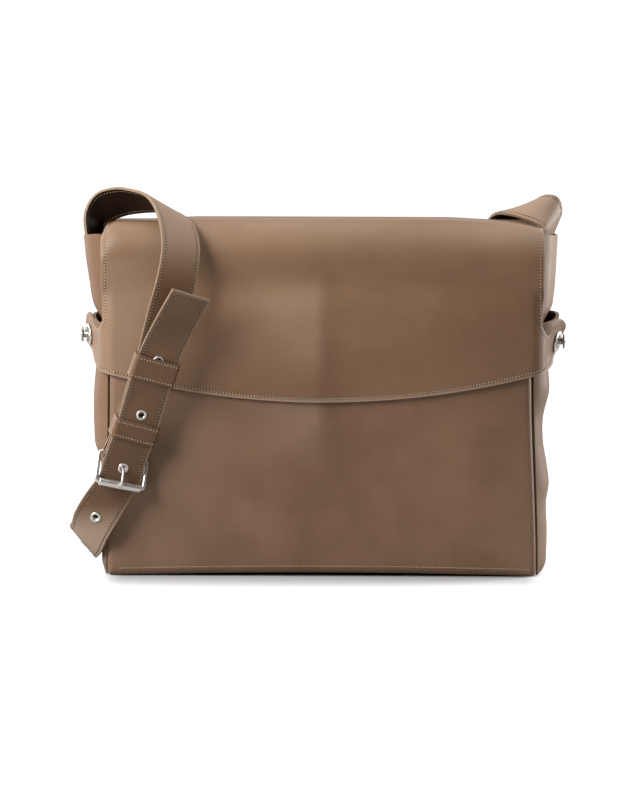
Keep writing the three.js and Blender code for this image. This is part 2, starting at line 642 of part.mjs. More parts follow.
// Body
addPiece('front_panel', wallPanel(BODY.front, SWELL.front), leather);
addPiece('back_panel', wallPanel(BODY.back, SWELL.back), leather);
addPiece('base_panel', new THREE.BoxGeometry(BASE.length, BASE.depth, WALL), leather).position.z = WALL / 2;
for (const [side, word] of [[-1, 'left'], [1, 'right']]) {
  addPiece(`gusset_${word}`, gusset(side, GUSSET_BOW[word]), leather);
  addPiece(`pocket_${word}`, pocket(side, POCKET_BOW[word]), leather);
}

// Flap, with a slot in each ear for the lock's post
const slots = [-1, 1].map((side) => {
  return plate(slotShape(LOCK.slotLong, LOCK.slotTall), 12, -6).applyMatrix4(lockPlace(side));
});
addPiece('flap', cut(flap(), slots), flapLeather);

// Turn-locks
for (const [side, word] of [[-1, 'left'], [1, 'right']]) {
  const lock = new THREE.Group();
  lock.applyMatrix4(lockPlace(side));
  bag.add(lock);
  addPiece(`lock_base_${word}`, lockBase(), nickel, lock);
  addPiece(`lock_plate_${word}`, lockPlate(), nickel).applyMatrix4(platePlace(side));
  addPiece(`turn_button_${word}`, turnButton(), nickel, lock);
}

// Straps, with the holes and the slot that the buckle's prong needs
const holeStrap = holeStrapSections();
const prongLength = lengthNear(holeStrap, buckleSpot(PRONG_REACH[1].up, 0, 0));
const eyeletPlaces = Array.from({ length: HOLES.count }, (_, i) => {
  return strapPlace(holeStrap, prongLength + (HOLES.atProng - 1 - i) * HOLES.pitch);
});
const punches = eyeletPlaces.map((place) => {
  return new THREE.CylinderGeometry(EYELET.cut, EYELET.cut, 3 * STRAP.thick, 14).applyMatrix4(place);
});
addPiece('hole_strap', cut(ribbon(holeStrap), punches), strapLeather);
const slotTall = PRONG_SLOT.below + PRONG_SLOT.above;
const slotBox = new THREE.BoxGeometry(PRONG_SLOT.wide, PRONG_SLOT.deep, slotTall);
const heelPlace = new THREE.Matrix4().makeBasis(wide, ahead.clone().negate(), upright);
const slotUp = heel.up + (PRONG_SLOT.above - PRONG_SLOT.below) / 2;
slotBox.applyMatrix4(heelPlace.clone().setPosition(buckleSpot(slotUp, 0, heel.ahead)));
addPiece('buckle_strap', cut(ribbon(buckleStrapSections()), [slotBox]), strapLeather);
for (const { name, up, tall, layers } of KEEPERS) {
  const loop = addPiece(name, keeper(tall, layers), strapLeather);
  const spot = leaning(up, 0);
  const along = leaning(up + 1, 0).centre.sub(leaning(up - 1, 0).centre).normalize();
  const face = new THREE.Vector3().crossVectors(spot.across, along).normalize();
  const turned = new THREE.Matrix4().makeBasis(face.clone().cross(along), face, along);
  loop.applyMatrix4(turned.setPosition(spot.centre));
}
eyeletPlaces.forEach((place, i) => {
  addPiece(`eyelet_${i + 1}`, eyelet(), nickel).applyMatrix4(place);
});

// Buckle
const frameUp = upright.clone().multiplyScalar(frameRise.x).addScaledVector(ahead, frameRise.y).normalize();
const frameOut = new THREE.Vector3().crossVectors(wide, frameUp);
const frameBasis = new THREE.Matrix4().makeBasis(wide, frameUp, frameOut);
const frameMiddle = buckleSpot(heel.up / 2, 0, (heel.ahead + ROLLER.ahead) / 2);
addPiece('buckle_frame', buckleFrame(), nickel).applyMatrix4(frameBasis.clone().setPosition(frameMiddle));
const rollerMiddle = buckleSpot(0, 0, ROLLER.ahead);
addPiece('buckle_roller', buckleRoller(), nickel).applyMatrix4(frameBasis.clone().setPosition(rollerMiddle));
addPiece('buckle_prong', buckleProng(), nickel);

export default bag;
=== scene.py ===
# Leather messenger bag, closed and standing upright, its shoulder strap buckled at the left front.
# Shapes are worked out in millimetres and scaled to metres when a mesh becomes a piece.
import math

import bmesh
import bpy
import numpy as np
from mathutils import Matrix, Vector
from mathutils.bvhtree import BVHTree


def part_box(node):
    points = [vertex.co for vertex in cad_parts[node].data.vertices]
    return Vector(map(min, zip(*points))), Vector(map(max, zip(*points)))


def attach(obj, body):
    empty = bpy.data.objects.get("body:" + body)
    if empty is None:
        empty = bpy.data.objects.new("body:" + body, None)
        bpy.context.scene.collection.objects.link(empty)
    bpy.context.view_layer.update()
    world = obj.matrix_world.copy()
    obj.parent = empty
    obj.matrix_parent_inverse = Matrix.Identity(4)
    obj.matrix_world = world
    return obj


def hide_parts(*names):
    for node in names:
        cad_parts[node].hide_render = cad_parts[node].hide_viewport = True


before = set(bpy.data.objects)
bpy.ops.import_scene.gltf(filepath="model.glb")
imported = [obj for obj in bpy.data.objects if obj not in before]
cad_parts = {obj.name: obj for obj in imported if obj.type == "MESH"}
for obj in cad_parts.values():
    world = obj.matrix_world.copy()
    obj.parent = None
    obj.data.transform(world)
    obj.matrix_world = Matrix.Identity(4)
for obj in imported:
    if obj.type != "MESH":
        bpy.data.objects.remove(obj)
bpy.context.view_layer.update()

# Studio: a white paper floor that runs on behind the bag, a large soft light at the upper left, weaker
# ones at the left behind, at the right and overhead, and a camera in front that looks down a little.
IMAGE_HEIGHT = 795
PIXEL = 0.000906
CAMERA_DISTANCE = 3.0
CAMERA_TILT, CAMERA_ROLL = math.radians(5), math.radians(-0.2)
AIM = Vector((-0.003, -0.055, 0.1635))
SENSOR = 36
LIGHTS = [
    {"name": "light_left", "place": (-0.98, -0.74, 0.85), "size": (0.75, 0.75), "power": 27},
    {"name": "light_left_back", "place": (-1.1, 0.8, 0.6), "size": (0.8, 1.0), "power": 6},
    {"name": "light_right", "place": (1.2, 0.45, 0.6), "size": (0.6, 1.0), "power": 20},
    {"name": "light_top", "place": (-0.05, -0.1, 1.6), "size": (1.3, 0.8), "power": 9},
]
WHITE = (1, 1, 1, 1)
ROOM = {"front": -0.3, "back": 0.5, "glow": (0.09, 0.68)}
PAPER_GLOW = 1.1
FLOOR_HALF = 8
FLOOR_SHADE, FLOOR_STRETCH, FLOOR_FADE = (0.18, 0.05, 0), (4, 1, 1), 0.15
FLOOR_GREY, FLOOR_ROUGHNESS = 0.42, 0.9

scene = bpy.context.scene
scene.view_settings.view_transform = "Standard"
sight = Vector((0, math.cos(CAMERA_TILT), -math.sin(CAMERA_TILT)))
camera_data = bpy.data.cameras.new("camera")
camera_data.sensor_width = SENSOR
camera_data.lens = CAMERA_DISTANCE / PIXEL * SENSOR / IMAGE_HEIGHT
camera = bpy.data.objects.new("camera", camera_data)
camera.location = AIM - sight * CAMERA_DISTANCE
camera.rotation_euler = (math.pi / 2 - CAMERA_TILT, CAMERA_ROLL, 0)
scene.collection.objects.link(camera)
scene.camera = camera

for light in LIGHTS:
    light_data = bpy.data.lights.new(light["name"], "AREA")
    light_data.shape = "RECTANGLE"
    light_data.size, light_data.size_y = light["size"]
    light_data.energy = light["power"]
    lamp = bpy.data.objects.new(light["name"], light_data)
    lamp.location = light["place"]
    lamp.rotation_euler = (AIM - lamp.location).to_track_quat("-Z", "Y").to_euler()
    scene.collection.objects.link(lamp)


def feed(tree, node, inputs):
    """Links or sets the sockets of a node."""
    for socket, value in inputs.items():
        if isinstance(value, bpy.types.NodeSocket):
            tree.links.new(value, node.inputs[socket])
        else:
            node.inputs[socket].default_value = value


def add_node(tree, kind, inputs=None, **settings):
    node = tree.nodes.new("ShaderNode" + kind)
    for key, value in settings.items():
        setattr(node, key, value)
    feed(tree, node, inputs or {})
    return node


def ranged(tree, value, low, high, to=(0, 1), ease="LINEAR"):
    """Where a value stands between low and high, carried over to another range."""
    inputs = {0: value, 1: low, 2: high, 3: to[0], 4: to[1]}
    return add_node(tree, "MapRange", inputs, interpolation_type=ease).outputs[0]


def vector_math(tree, operation, *vectors):
    return add_node(tree, "VectorMath", dict(enumerate(vectors)), operation=operation).outputs


world = bpy.data.worlds.new("studio")
world.use_nodes = True
sky = world.node_tree
sky.nodes.clear()
way = add_node(sky, "SeparateXYZ", {0: add_node(sky, "TexCoord").outputs["Generated"]})
glow = ranged(sky, way.outputs["Y"], ROOM["front"], ROOM["back"], ROOM["glow"], "SMOOTHSTEP")
room = add_node(sky, "Background", {"Color": WHITE, "Strength": glow})
paper = add_node(sky, "Background", {"Color": WHITE, "Strength": PAPER_GLOW})
seen = add_node(sky, "LightPath").outputs["Is Camera Ray"]
both = add_node(sky, "MixShader", {0: seen, 1: room.outputs[0], 2: paper.outputs[0]})
add_node(sky, "OutputWorld", {"Surface": both.outputs[0]})
scene.world = world

floor_mesh = bmesh.new()
bmesh.ops.create_grid(floor_mesh, x_segments=1, y_segments=1, size=FLOOR_HALF)
floor_data = bpy.data.meshes.new("floor")
floor_mesh.to_mesh(floor_data)
floor_mesh.free()
floor_finish = bpy.data.materials.new("floor_paper")
floor_finish.use_nodes = True
floor_tree = floor_finish.node_tree
floor_off = vector_math(floor_tree, "ABSOLUTE", add_node(floor_tree, "TexCoord").outputs["Object"])[0]
floor_past = vector_math(floor_tree, "SUBTRACT", floor_off, FLOOR_SHADE)[0]
floor_out = vector_math(floor_tree, "MAXIMUM", floor_past, (0, 0, 0))[0]
floor_drawn = vector_math(floor_tree, "MULTIPLY", floor_out, FLOOR_STRETCH)[0]
floor_gap = vector_math(floor_tree, "LENGTH", floor_drawn)["Value"]
floor_glow = ranged(floor_tree, floor_gap, 0, FLOOR_FADE, ease="SMOOTHSTEP")
floor_seen = add_node(floor_tree, "LightPath").outputs["Is Camera Ray"]
floor_lit = add_node(floor_tree, "Math", {0: floor_glow, 1: floor_seen}, operation="MULTIPLY")
feed(floor_tree, floor_tree.nodes["Principled BSDF"], {
    "Base Color": (FLOOR_GREY, FLOOR_GREY, FLOOR_GREY, 1), "Roughness": FLOOR_ROUGHNESS,
    "Emission Color": WHITE, "Emission Strength": floor_lit.outputs[0],
})
floor_data.materials.append(floor_finish)
floor = bpy.data.objects.new("floor", floor_data)
scene.collection.objects.link(floor)

# Front wall, back wall and base: smooth waxed leather 2 mm thick. Each wall is turned back round its
# sides and under at the bottom, where it is sewn to the flat base with one row of stitches.
MM = 0.001
WALL = 2
BODY_HALF, BODY_TOP, BODY_HEIGHT = 194, 294, 322
WALL_FRONT, WALL_BACK = -55, 55
SIDE_ROLL, HEM_ROLL, HEM_TURN = 4.5, 6, 6
SIDE_STEPS, HEM_STEPS = 6, 7
WALL_PITCH, WALL_ROW, BASE_PITCH = 7, 8, 12
SWELL = {"out": 7, "half": 198, "square": 4, "fullness": 0.6}
FRONT_NARROW = {"left": 0.012, "right": 0.029, "low": 5, "high": 185}
FRONT_CORNER = {"radius": 5, "power": 9}
BASE_ARCH = {"rise": 3, "height": 70}
BASE_HALF_LENGTH, BASE_HALF_DEPTH = 174, 42
CREASE = {"x": -7, "rise": 2.4, "soft": 48, "steep": 15, "foot": (90, 150), "head": (240, 290)}
HOLLOW = {"z": 266, "tall": 17, "deep": 4.6}
WAVES = [
    {"x": -110, "z": 245, "wide": 60, "tall": 40, "rise": 0.9},
    {"x": 70, "z": 262, "wide": 60, "tall": 30, "rise": 0.8},
    {"x": 120, "z": 205, "wide": 45, "tall": 45, "rise": 0.9},
    {"x": 60, "z": 110, "wide": 70, "tall": 60, "rise": -1.1},
    {"x": -90, "z": 80, "wide": 60, "tall": 50, "rise": 1.0},
    {"x": 150, "z": 60, "wide": 35, "tall": 60, "rise": 0.8},
]
HEM_SEAM = {"z": 7, "left": -184, "right": 189, "step": 8}
# Painted highlight on the front wall: its left part, its right edge and the left of the crease.
FRONT_PAINTED_LIGHT = {
    "left": 0.1, "left_x": (-150, 0), "right": 0.08, "right_x": (150, 190),
    "lightened": 0.2, "soft": 48, "steep": 8, "foot": (85, 150),
}
# Body leather is darker than the flap's: partly its own tone, partly painted shade for the lower front under
# the flap.
BODY_PALE, BODY_DEEP, BODY_GLOSS = (0.205, 0.112, 0.062), (0.150, 0.077, 0.040), 0.4
# Inner flesh side coloured near black: painted shade for the insides of the bag and of the strap's arch.
SHADED_LINING_PALE, SHADED_LINING_DEEP, LINING_GLOSS = (0.033, 0.018, 0.011), (0.019, 0.010, 0.006), 0.15
# Pale colour that wear, scuffs and painted highlight blend towards.
WEAR_AND_HIGHLIGHT = (0.40, 0.285, 0.20)
HIDE = {
    "cloud_share": 0.35, "tone": (0.34, 0.66), "nicks": (0.74, 0.84), "nick_tone": 0.18,
    "fibre_share": 0.55, "waxed": (0.3, 0.7), "roughness": (0.54, 0.44),
}
GRAIN_DEPTH, FIBRE_DEPTH, RELIEF = 0.00008, 0.00006, 0.5
EDGE_PALE, EDGE_DEEP, EDGE_ROUGHNESS = (0.27, 0.175, 0.105), (0.165, 0.10, 0.056), 0.6
EDGE_ROUND, EDGE_ANGLE = 0.45, math.radians(50)
THREAD_COLOUR, THREAD_ROUGHNESS, THREAD_SHADE = (0.62, 0.47, 0.33), 0.7, 0.6
# Near-black disc at each needle hole: painted shade standing in for the hole.
PIT_SHADE_COLOUR, PIT_ROUGHNESS = (0.02, 0.011, 0.007), 0.9
STITCH, STITCH_SHARE, STITCH_SLANT = 2.8, 0.66, math.radians(20)
THREAD_RADIUS, PIT_ALONG, PIT_ACROSS, PIT_PROUD, PIT_SMALL = 0.48, 0.58, 0.78, 0.06, 0.6


def smooth(value, low, high):
    share = min(max((value - low) / (high - low), 0), 1)
    return share * share * (3 - 2 * share)


def hump(off, width):
    return math.exp(-((off / width) ** 2))


def mix(a, b, share):
    return a + (b - a) * share


def spread(start, stop, step):
    count = max(1, round(abs(stop - start) / step))
    return [mix(start, stop, i / count) for i in range(count + 1)]


def quarter(steps):
    return [math.pi / 2 * i / steps for i in range(steps + 1)]


def beside_crease(x, soft, steep):
    """1 on the crease down the middle, falling off softly on its left and steeply on its right."""
    off = x - CREASE["x"]
    return hump(off, soft if off < 0 else steep)


def swell(x, z):
    """How far the front of the filled bag stands out, with a hollow below its top, a soft crease down
    its middle and low waves."""
    wide = max(0, 1 - (x / SWELL["half"]) ** SWELL["square"])
    out = SWELL["out"] * wide * math.sin(math.pi * min(max(z / BODY_HEIGHT, 0), 1)) ** SWELL["fullness"]
    out -= HOLLOW["deep"] * wide * hump(z - HOLLOW["z"], HOLLOW["tall"])
    tall = smooth(z, *CREASE["foot"]) * (1 - smooth(z, *CREASE["head"]))
    out += CREASE["rise"] * tall * beside_crease(x, CREASE["soft"], CREASE["steep"])
    for wave in WAVES:
        out += wave["rise"] * wide * hump(x - wave["x"], wave["wide"]) * hump(z - wave["z"], wave["tall"])
    return out


def lay_net(bm, columns, rows, place):
    """A grid of leather, rows from the top down, each point set where place(column, row) says."""
    grid = bmesh.ops.create_grid(bm, x_segments=len(columns) - 1, y_segments=len(rows) - 1, size=1)
    for i, vert in enumerate(grid["verts"]):
        row = rows[len(rows) - 1 - i // len(columns)]
        vert.co = place(columns[i % len(columns)], row)
    bm.normal_update()
    return grid["verts"]


def wear_and_light(bm, amount):
    """Marks where the leather is painted paler, from 0 to 1 at each point: wear along cut edges and painted
    highlight where the lamps fall.
    """
    layer = bm.verts.layers.float.new("wear_and_light")
    for vert in bm.verts:
        vert[layer] = amount(vert)


def blend(tree, share, first, second):
    return add_node(tree, "Mix", {0: share, 6: first, 7: second}, data_type="RGBA").outputs[2]


def waxed_hide_group():
    """Waxed leather: broad soft changes of tone, paler where worn and where a highlight is painted, a few
    light scuffs and a fine closed grain."""
    group = bpy.data.node_groups.new("waxed_hide", "ShaderNodeTree")
    for label, kind in {"Vector": "Vector", "Wear_and_light": "Float", "Pale": "Color", "Deep": "Color"}.items():
        group.interface.new_socket(label, in_out="INPUT", socket_type="NodeSocket" + kind)
    for label, kind in {"Color": "Color", "Roughness": "Float", "Height": "Float"}.items():
        group.interface.new_socket(label, in_out="OUTPUT", socket_type="NodeSocket" + kind)
    given, result = group.nodes.new("NodeGroupInput"), group.nodes.new("NodeGroupOutput")
    where = given.outputs["Vector"]
    broad = add_node(group, "TexNoise", {"Vector": where, "Scale": 7, "Detail": 2, "Roughness": 0.5,
                                         "Distortion": 0.4}).outputs[0]
    cloud = add_node(group, "TexNoise", {"Vector": where, "Scale": 30, "Detail": 4,
                                         "Roughness": 0.55}).outputs[0]
    tone = add_node(group, "Mix", {0: HIDE["cloud_share"], 2: broad, 3: cloud}).outputs[0]
    clear = ranged(group, tone, *HIDE["tone"], ease="SMOOTHSTEP")
    hide = blend(group, clear, given.outputs["Deep"], given.outputs["Pale"])
    # Paler by the amount at each point: wear along edges and painted highlight.
    lightened = blend(group, given.outputs["Wear_and_light"], hide, (*WEAR_AND_HIGHLIGHT, 1))
    scuffed = add_node(group, "Mapping", {"Vector": where, "Rotation": (0.3, 0.5, 0.4), "Scale": (1, 1, 5)})
    nicks = add_node(group, "TexNoise", {"Vector": scuffed.outputs[0], "Scale": 75, "Detail": 2})
    nick = ranged(group, nicks.outputs[0], *HIDE["nicks"], (0, HIDE["nick_tone"]))
    grain = add_node(group, "TexVoronoi", {"Vector": where, "Scale": 900}, feature="SMOOTH_F1")
    fibre = add_node(group, "TexNoise", {"Vector": where, "Scale": 420, "Detail": 5, "Roughness": 0.65})
    height = add_node(group, "Mix", {0: HIDE["fibre_share"], 2: grain.outputs["Distance"],
                                     3: fibre.outputs[0]})
    feed(group, result, {
        "Color": blend(group, nick, lightened, (*WEAR_AND_HIGHLIGHT, 1)),
        "Roughness": ranged(group, cloud, *HIDE["waxed"], HIDE["roughness"]),
        "Height": height.outputs[0],
    })
    return group


waxed_hide = waxed_hide_group()


def new_finish(name):
    """A material with its tree, its shader and the place on the piece that its pattern follows."""
    finish = bpy.data.materials.new(name)
    finish.use_nodes = True
    tree = finish.node_tree
    return finish, tree, tree.nodes["Principled BSDF"], add_node(tree, "TexCoord").outputs["Object"]


def leather(name, pale, deep, gloss, worn=True):
    finish, tree, shader, where = new_finish(name)
    inputs = {"Vector": where, "Pale": (*pale, 1), "Deep": (*deep, 1)}
    if worn:
        inputs["Wear_and_light"] = add_node(tree, "Attribute", attribute_name="wear_and_light").outputs["Fac"]
    hide = add_node(tree, "Group", inputs, node_tree=waxed_hide)
    relief = add_node(tree, "Bump", {"Height": hide.outputs["Height"], "Distance": GRAIN_DEPTH,
                                     "Strength": RELIEF})
    feed(tree, shader, {
        "Base Color": hide.outputs["Color"], "Roughness": hide.outputs["Roughness"],
        "Normal": relief.outputs["Normal"], "Specular IOR Level": gloss,
    })
    return finish


def cut_edge(name):
    """Raw cut edge: pale fibres, burnished a little."""
    finish, tree, shader, where = new_finish(name)
    fibre = add_node(tree, "TexNoise", {"Vector": where, "Scale": 1100, "Detail": 3}).outputs[0]
    relief = add_node(tree, "Bump", {"Height": fibre, "Distance": FIBRE_DEPTH, "Strength": RELIEF})
    feed(tree, shader, {
        "Base Color": blend(tree, fibre, (*EDGE_DEEP, 1), (*EDGE_PALE, 1)),
        "Normal": relief.outputs["Normal"], "Roughness": EDGE_ROUGHNESS,
    })
    return finish


def thread(name, colour, roughness):
    """Waxed thread, or the painted shade of a stitch hole: a short twist along each stitch."""
    finish, tree, shader, where = new_finish(name)
    twist = add_node(tree, "TexNoise", {"Vector": where, "Scale": 1500, "Detail": 2}).outputs[0]
    shade = tuple(THREAD_SHADE * part for part in colour)
    feed(tree, shader, {"Base Color": blend(tree, twist, (*shade, 1), (*colour, 1)), "Roughness": roughness})
    return finish


body_leather = leather("body_leather", BODY_PALE, BODY_DEEP, BODY_GLOSS)
shaded_lining = leather("shaded_lining", SHADED_LINING_PALE, SHADED_LINING_DEEP, LINING_GLOSS, worn=False)
raw_edge = cut_edge("raw_edge")
beige_thread = thread("beige_thread", THREAD_COLOUR, THREAD_ROUGHNESS)
painted_hole_shade = thread("painted_hole_shade", PIT_SHADE_COLOUR, PIT_ROUGHNESS)
body_finishes = [body_leather, raw_edge, shaded_lining]


def add_piece(name, bm, finishes, nodes=(), body="bag"):
    """Makes a bmesh in millimetres a piece that rides on a body and stands for CAD nodes."""
    mesh = bpy.data.meshes.new(name)
    bm.to_mesh(mesh)
    bm.free()
    mesh.transform(Matrix.Scale(MM, 4))
    for finish in finishes:
        mesh.materials.append(finish)
    mesh.shade_smooth()
    piece = bpy.data.objects.new(name, mesh)
    scene.collection.objects.link(piece)
    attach(piece, body)
    if nodes:
        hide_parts(*nodes)
    return piece


def thicken(piece, thickness, edge_round=EDGE_ROUND):
    """Gives bent leather its wall: its finish outside, a rounded raw edge, the flesh side inside in a
    near-black painted shade.
    """
    wall = piece.modifiers.new("wall", "SOLIDIFY")
    wall.thickness = thickness * MM
    wall.offset = 0
    wall.use_even_offset = True
    wall.material_offset_rim = 1
    wall.material_offset = 2
    edge = piece.modifiers.new("edge", "BEVEL")
    edge.width = edge_round * MM
    edge.segments = 2
    edge.limit_method = "ANGLE"
    edge.angle_limit = EDGE_ANGLE
    edge.harden_normals = True


def sewn(line, tree, lift, side=1):
    """Even stitches along a line on the leather: each one's middle, direction and normal."""
    points = np.array([tuple(point) for point in line])
    lengths = np.concatenate(([0], np.cumsum(np.linalg.norm(np.diff(points, axis=0), axis=1))))
    count = max(1, round(lengths[-1] / STITCH))

    def at(length):
        return Vector([np.interp(length, lengths, points[:, axis]) for axis in range(3)])

    stitches = []
    for i in range(count):
        middle = (i + 0.5) * lengths[-1] / count
        spot, normal, _, _ = tree.find_nearest(at(middle))
        ahead = at(middle + STITCH / 2) - at(middle - STITCH / 2)
        stitches.append((spot + normal * lift * side, ahead.normalized(), normal * side))
    return stitches


def one_stitch(pit_size):
    """A slanted flat bead of thread along Z, and after it a flat dark disc, painted shade for the pit where
    the needle went in.
    """
    bm = bmesh.new()
    bead = bmesh.ops.create_uvsphere(bm, u_segments=6, v_segments=4, radius=1)["verts"]
    bmesh.ops.scale(bm, vec=(THREAD_RADIUS, THREAD_RADIUS, STITCH * STITCH_SHARE / 2), verts=bead)
    pit = bmesh.ops.create_circle(bm, cap_ends=True, segments=8, radius=1)["verts"]
    bmesh.ops.scale(bm, vec=(PIT_ACROSS * pit_size, PIT_ALONG * pit_size, 1), verts=pit)
    bmesh.ops.rotate(bm, matrix=Matrix.Rotation(-math.pi / 2, 3, "X"), verts=pit)
    bmesh.ops.rotate(bm, matrix=Matrix.Rotation(STITCH_SLANT, 3, "Y"), verts=bm.verts)
    bmesh.ops.translate(bm, vec=(0, PIT_PROUD, STITCH / 2), verts=pit)
    for face in pit[0].link_faces:
        face.material_index = 1
    mesh = bpy.data.meshes.new("stitch")
    bm.to_mesh(mesh)
    bm.free()
    return mesh


def set_place(centre, x, y, z):
    return Matrix.Translation(centre) @ Matrix((x, y, z)).transposed().to_4x4()


def add_stitches(name, stitches, yarn=beige_thread, pit_size=PIT_SMALL):
    """One piece of thread: a stitch set at each place along its seams."""
    stitch = one_stitch(pit_size)
    seam = bmesh.new()
    for middle, ahead, normal in stitches:
        aside = normal.cross(ahead).normalized()
        placed = stitch.copy()
        placed.transform(set_place(middle, aside, ahead.cross(aside), ahead))
        seam.from_mesh(placed)
        bpy.data.meshes.remove(placed)
    bpy.data.meshes.remove(stitch)
    add_piece(name, seam, [yarn, painted_hole_shade])


def base_lift(x, z):
    """The base of the filled bag arches up a little between its corners."""
    return BASE_ARCH["rise"] * (1 - (x / BODY_HALF) ** 2) * (1 - smooth(z, 0, BASE_ARCH["height"]))


def wall_panel(face, filled):
    """One wall and the stitches along its foot; the front one is filled out by what the bag holds."""
    flat = BODY_HALF - SIDE_ROLL
    side = [(flat + SIDE_ROLL * math.sin(a), SIDE_ROLL * (1 - math.cos(a))) for a in quarter(SIDE_STEPS)]
    columns = [(-x, inward) for x, inward in reversed(side)]
    columns += [(x, 0) for x in spread(-flat, flat, WALL_PITCH)[1:-1]] + side
    rows = [(z, 0) for z in spread(BODY_TOP, WALL / 2 + HEM_ROLL, WALL_ROW)]
    for a in quarter(HEM_STEPS)[1:]:
        rows.append((WALL / 2 + HEM_ROLL * (1 - math.sin(a)), HEM_ROLL * (1 - math.cos(a))))
    rows.append((WALL / 2, HEM_ROLL + HEM_TURN))
    toward = -1 if face < 0 else 1

    def place(column, row):
        x, z = column[0], row[0]
        inward = math.hypot(column[1], row[1]) - (swell(x, z) if filled else 0)
        rise = smooth(z, FRONT_NARROW["low"], FRONT_NARROW["high"]) if filled else 0
        narrow = 1 - FRONT_NARROW["left" if x < 0 else "right"] * rise
        low = max(0, 1 - z / FRONT_CORNER["radius"])
        turned_in = FRONT_CORNER["radius"] * (1 - math.sqrt(1 - low * low))
        turned_in *= (x / BODY_HALF) ** FRONT_CORNER["power"]
        return Vector((x * narrow - turned_in, face - toward * inward, z + base_lift(x, z)))

    bm = bmesh.new()
    lay_net(bm, columns if face < 0 else columns[::-1], rows, place)
    runs = spread(HEM_SEAM["left"], HEM_SEAM["right"], HEM_SEAM["step"])
    seam = [place((x, 0), (HEM_SEAM["z"], 0)) for x in runs]
    return bm, sewn(seam, BVHTree.FromBMesh(bm), WALL / 2)


def front_painted_light(vert):
    """Painted highlight: paler at both sides and, below the flap, on the left of the crease, where the lamps
    light the front.
    """
    x, z = vert.co.x, vert.co.z
    lightened = FRONT_PAINTED_LIGHT["lightened"] * beside_crease(x, FRONT_PAINTED_LIGHT["soft"], FRONT_PAINTED_LIGHT["steep"])
    left = FRONT_PAINTED_LIGHT["left"] * (1 - smooth(x, *FRONT_PAINTED_LIGHT["left_x"]))
    right = FRONT_PAINTED_LIGHT["right"] * smooth(x, *FRONT_PAINTED_LIGHT["right_x"])
    return left + right + lightened * smooth(z, *FRONT_PAINTED_LIGHT["foot"])


for name, face, filled in (("front_panel", WALL_FRONT, True), ("back_panel", WALL_BACK, False)):
    panel, stitches = wall_panel(face, filled)
    if filled:
        wear_and_light(panel, front_painted_light)
    thicken(add_piece(name + "_leather", panel, body_finishes, [name]), WALL)
    add_stitches(name + "_thread", stitches)

base = bmesh.new()
lay_net(base, spread(-BASE_HALF_LENGTH, BASE_HALF_LENGTH, BASE_PITCH),
        spread(BASE_HALF_DEPTH, -BASE_HALF_DEPTH, BASE_PITCH),
        lambda x, y: Vector((x, y, WALL / 2 + base_lift(x, 0))))
thicken(add_piece("base_leather", base, body_finishes, ["base_panel"]), WALL)

# Side walls: one piece of the same leather each, bowed outwards, narrowed in at the turn-lock, raw
# along the top edge and turned in under the bag at the foot.
SIDES = {"left": -1, "right": 1}
SIDE_COLUMNS = 26
BOW_POWER, BOW_STEPS, FOOT_HEIGHT, FOOT_STEPS = 3.5, 5, 9, 6
SEAM_DRAWN = {"left": 2, "right": 5, "power": 6}
GUSSET = {"seam": 190, "half": 51.5, "foot_half": 37.5, "corner": 11, "end": 174.6}
GUSSET_TOP = {"rise": 3, "dip": 12, "from": 0.85, "reach": 30}
GUSSET_FOLD = {"at": 0.6, "bow": 0.7, "low": 226, "high": 250}
# Painted highlight on the right side wall, on the half beyond the fold that faces the right lamp.
GUSSET_PAINTED_LIGHT = {"pale": 0.42, "y": (-36, -29), "z": (236, 256)}
GUSSET_BOW = {
    "left": [
        {"z": 308.5, "out": 28}, {"z": 288, "out": 26}, {"z": 268, "out": 23}, {"z": 252, "out": 20.5},
        {"z": 243, "out": 17.5}, {"z": 232, "out": 11}, {"z": 218, "out": 6.5}, {"z": 190, "out": 6},
        {"z": 160, "out": 6.5}, {"z": 118, "out": 7}, {"z": 100, "out": 6}, {"z": 60, "out": 5},
        {"z": 14, "out": 6},
    ],
    "right": [
        {"z": 309.5, "out": 25}, {"z": 288, "out": 24}, {"z": 268, "out": 23}, {"z": 252, "out": 21.5},
        {"z": 243, "out": 19.5}, {"z": 232, "out": 12.5}, {"z": 218, "out": 7}, {"z": 190, "out": 6.5},
        {"z": 160, "out": 6.5}, {"z": 138, "out": 5}, {"z": 100, "out": 7}, {"z": 60, "out": 7},
        {"z": 14, "out": 8},
    ],
}


def spline(points, steps):
    """A smooth curve through points of any dimension, with steps in each gap."""
    line = [Vector(point) for point in points]
    line = [2 * line[0] - line[1], *line, 2 * line[-1] - line[-2]]
    curve = []
    for before, start, stop, after in zip(line, line[1:], line[2:], line[3:]):
        for i in range(steps):
            t = i / steps
            leave, arrive = (stop - before) / 2, (after - start) / 2
            bend = 2 * start - 2 * stop + leave + arrive
            curve.append(start + t * (leave + t * (3 * (stop - start) - 2 * leave - arrive + t * bend)))
    return [*curve, line[-2]]


def bow_rows(table):
    points = spline([(row["z"], row["out"]) for row in table], BOW_STEPS)
    return [{"z": p[0], "out": p[1]} for p in points]


def across_side(side):
    """Shares of the side's half depth from front to back, closer together near its seams."""
    shares = [math.sin((i / SIDE_COLUMNS - 0.5) * math.pi) for i in range(SIDE_COLUMNS + 1)]
    return shares if side > 0 else shares[::-1]


def side_point(side, piece, f, row):
    """A point of a side wall or pocket, at a share f of its half depth, negative in front."""
    bow = row["out"] * (1 - abs(f) ** BOW_POWER)
    drawn = SEAM_DRAWN["left" if side < 0 else "right"] * max(0, -f) ** SEAM_DRAWN["power"]
    drawn *= smooth(row["z"], FRONT_NARROW["low"], FRONT_NARROW["high"])
    half = mix(piece["foot_half"], piece["half"], smooth(row["z"], 0, FOOT_HEIGHT))
    return Vector((side * (piece["seam"] + bow - drawn), f * half, row["z"]))


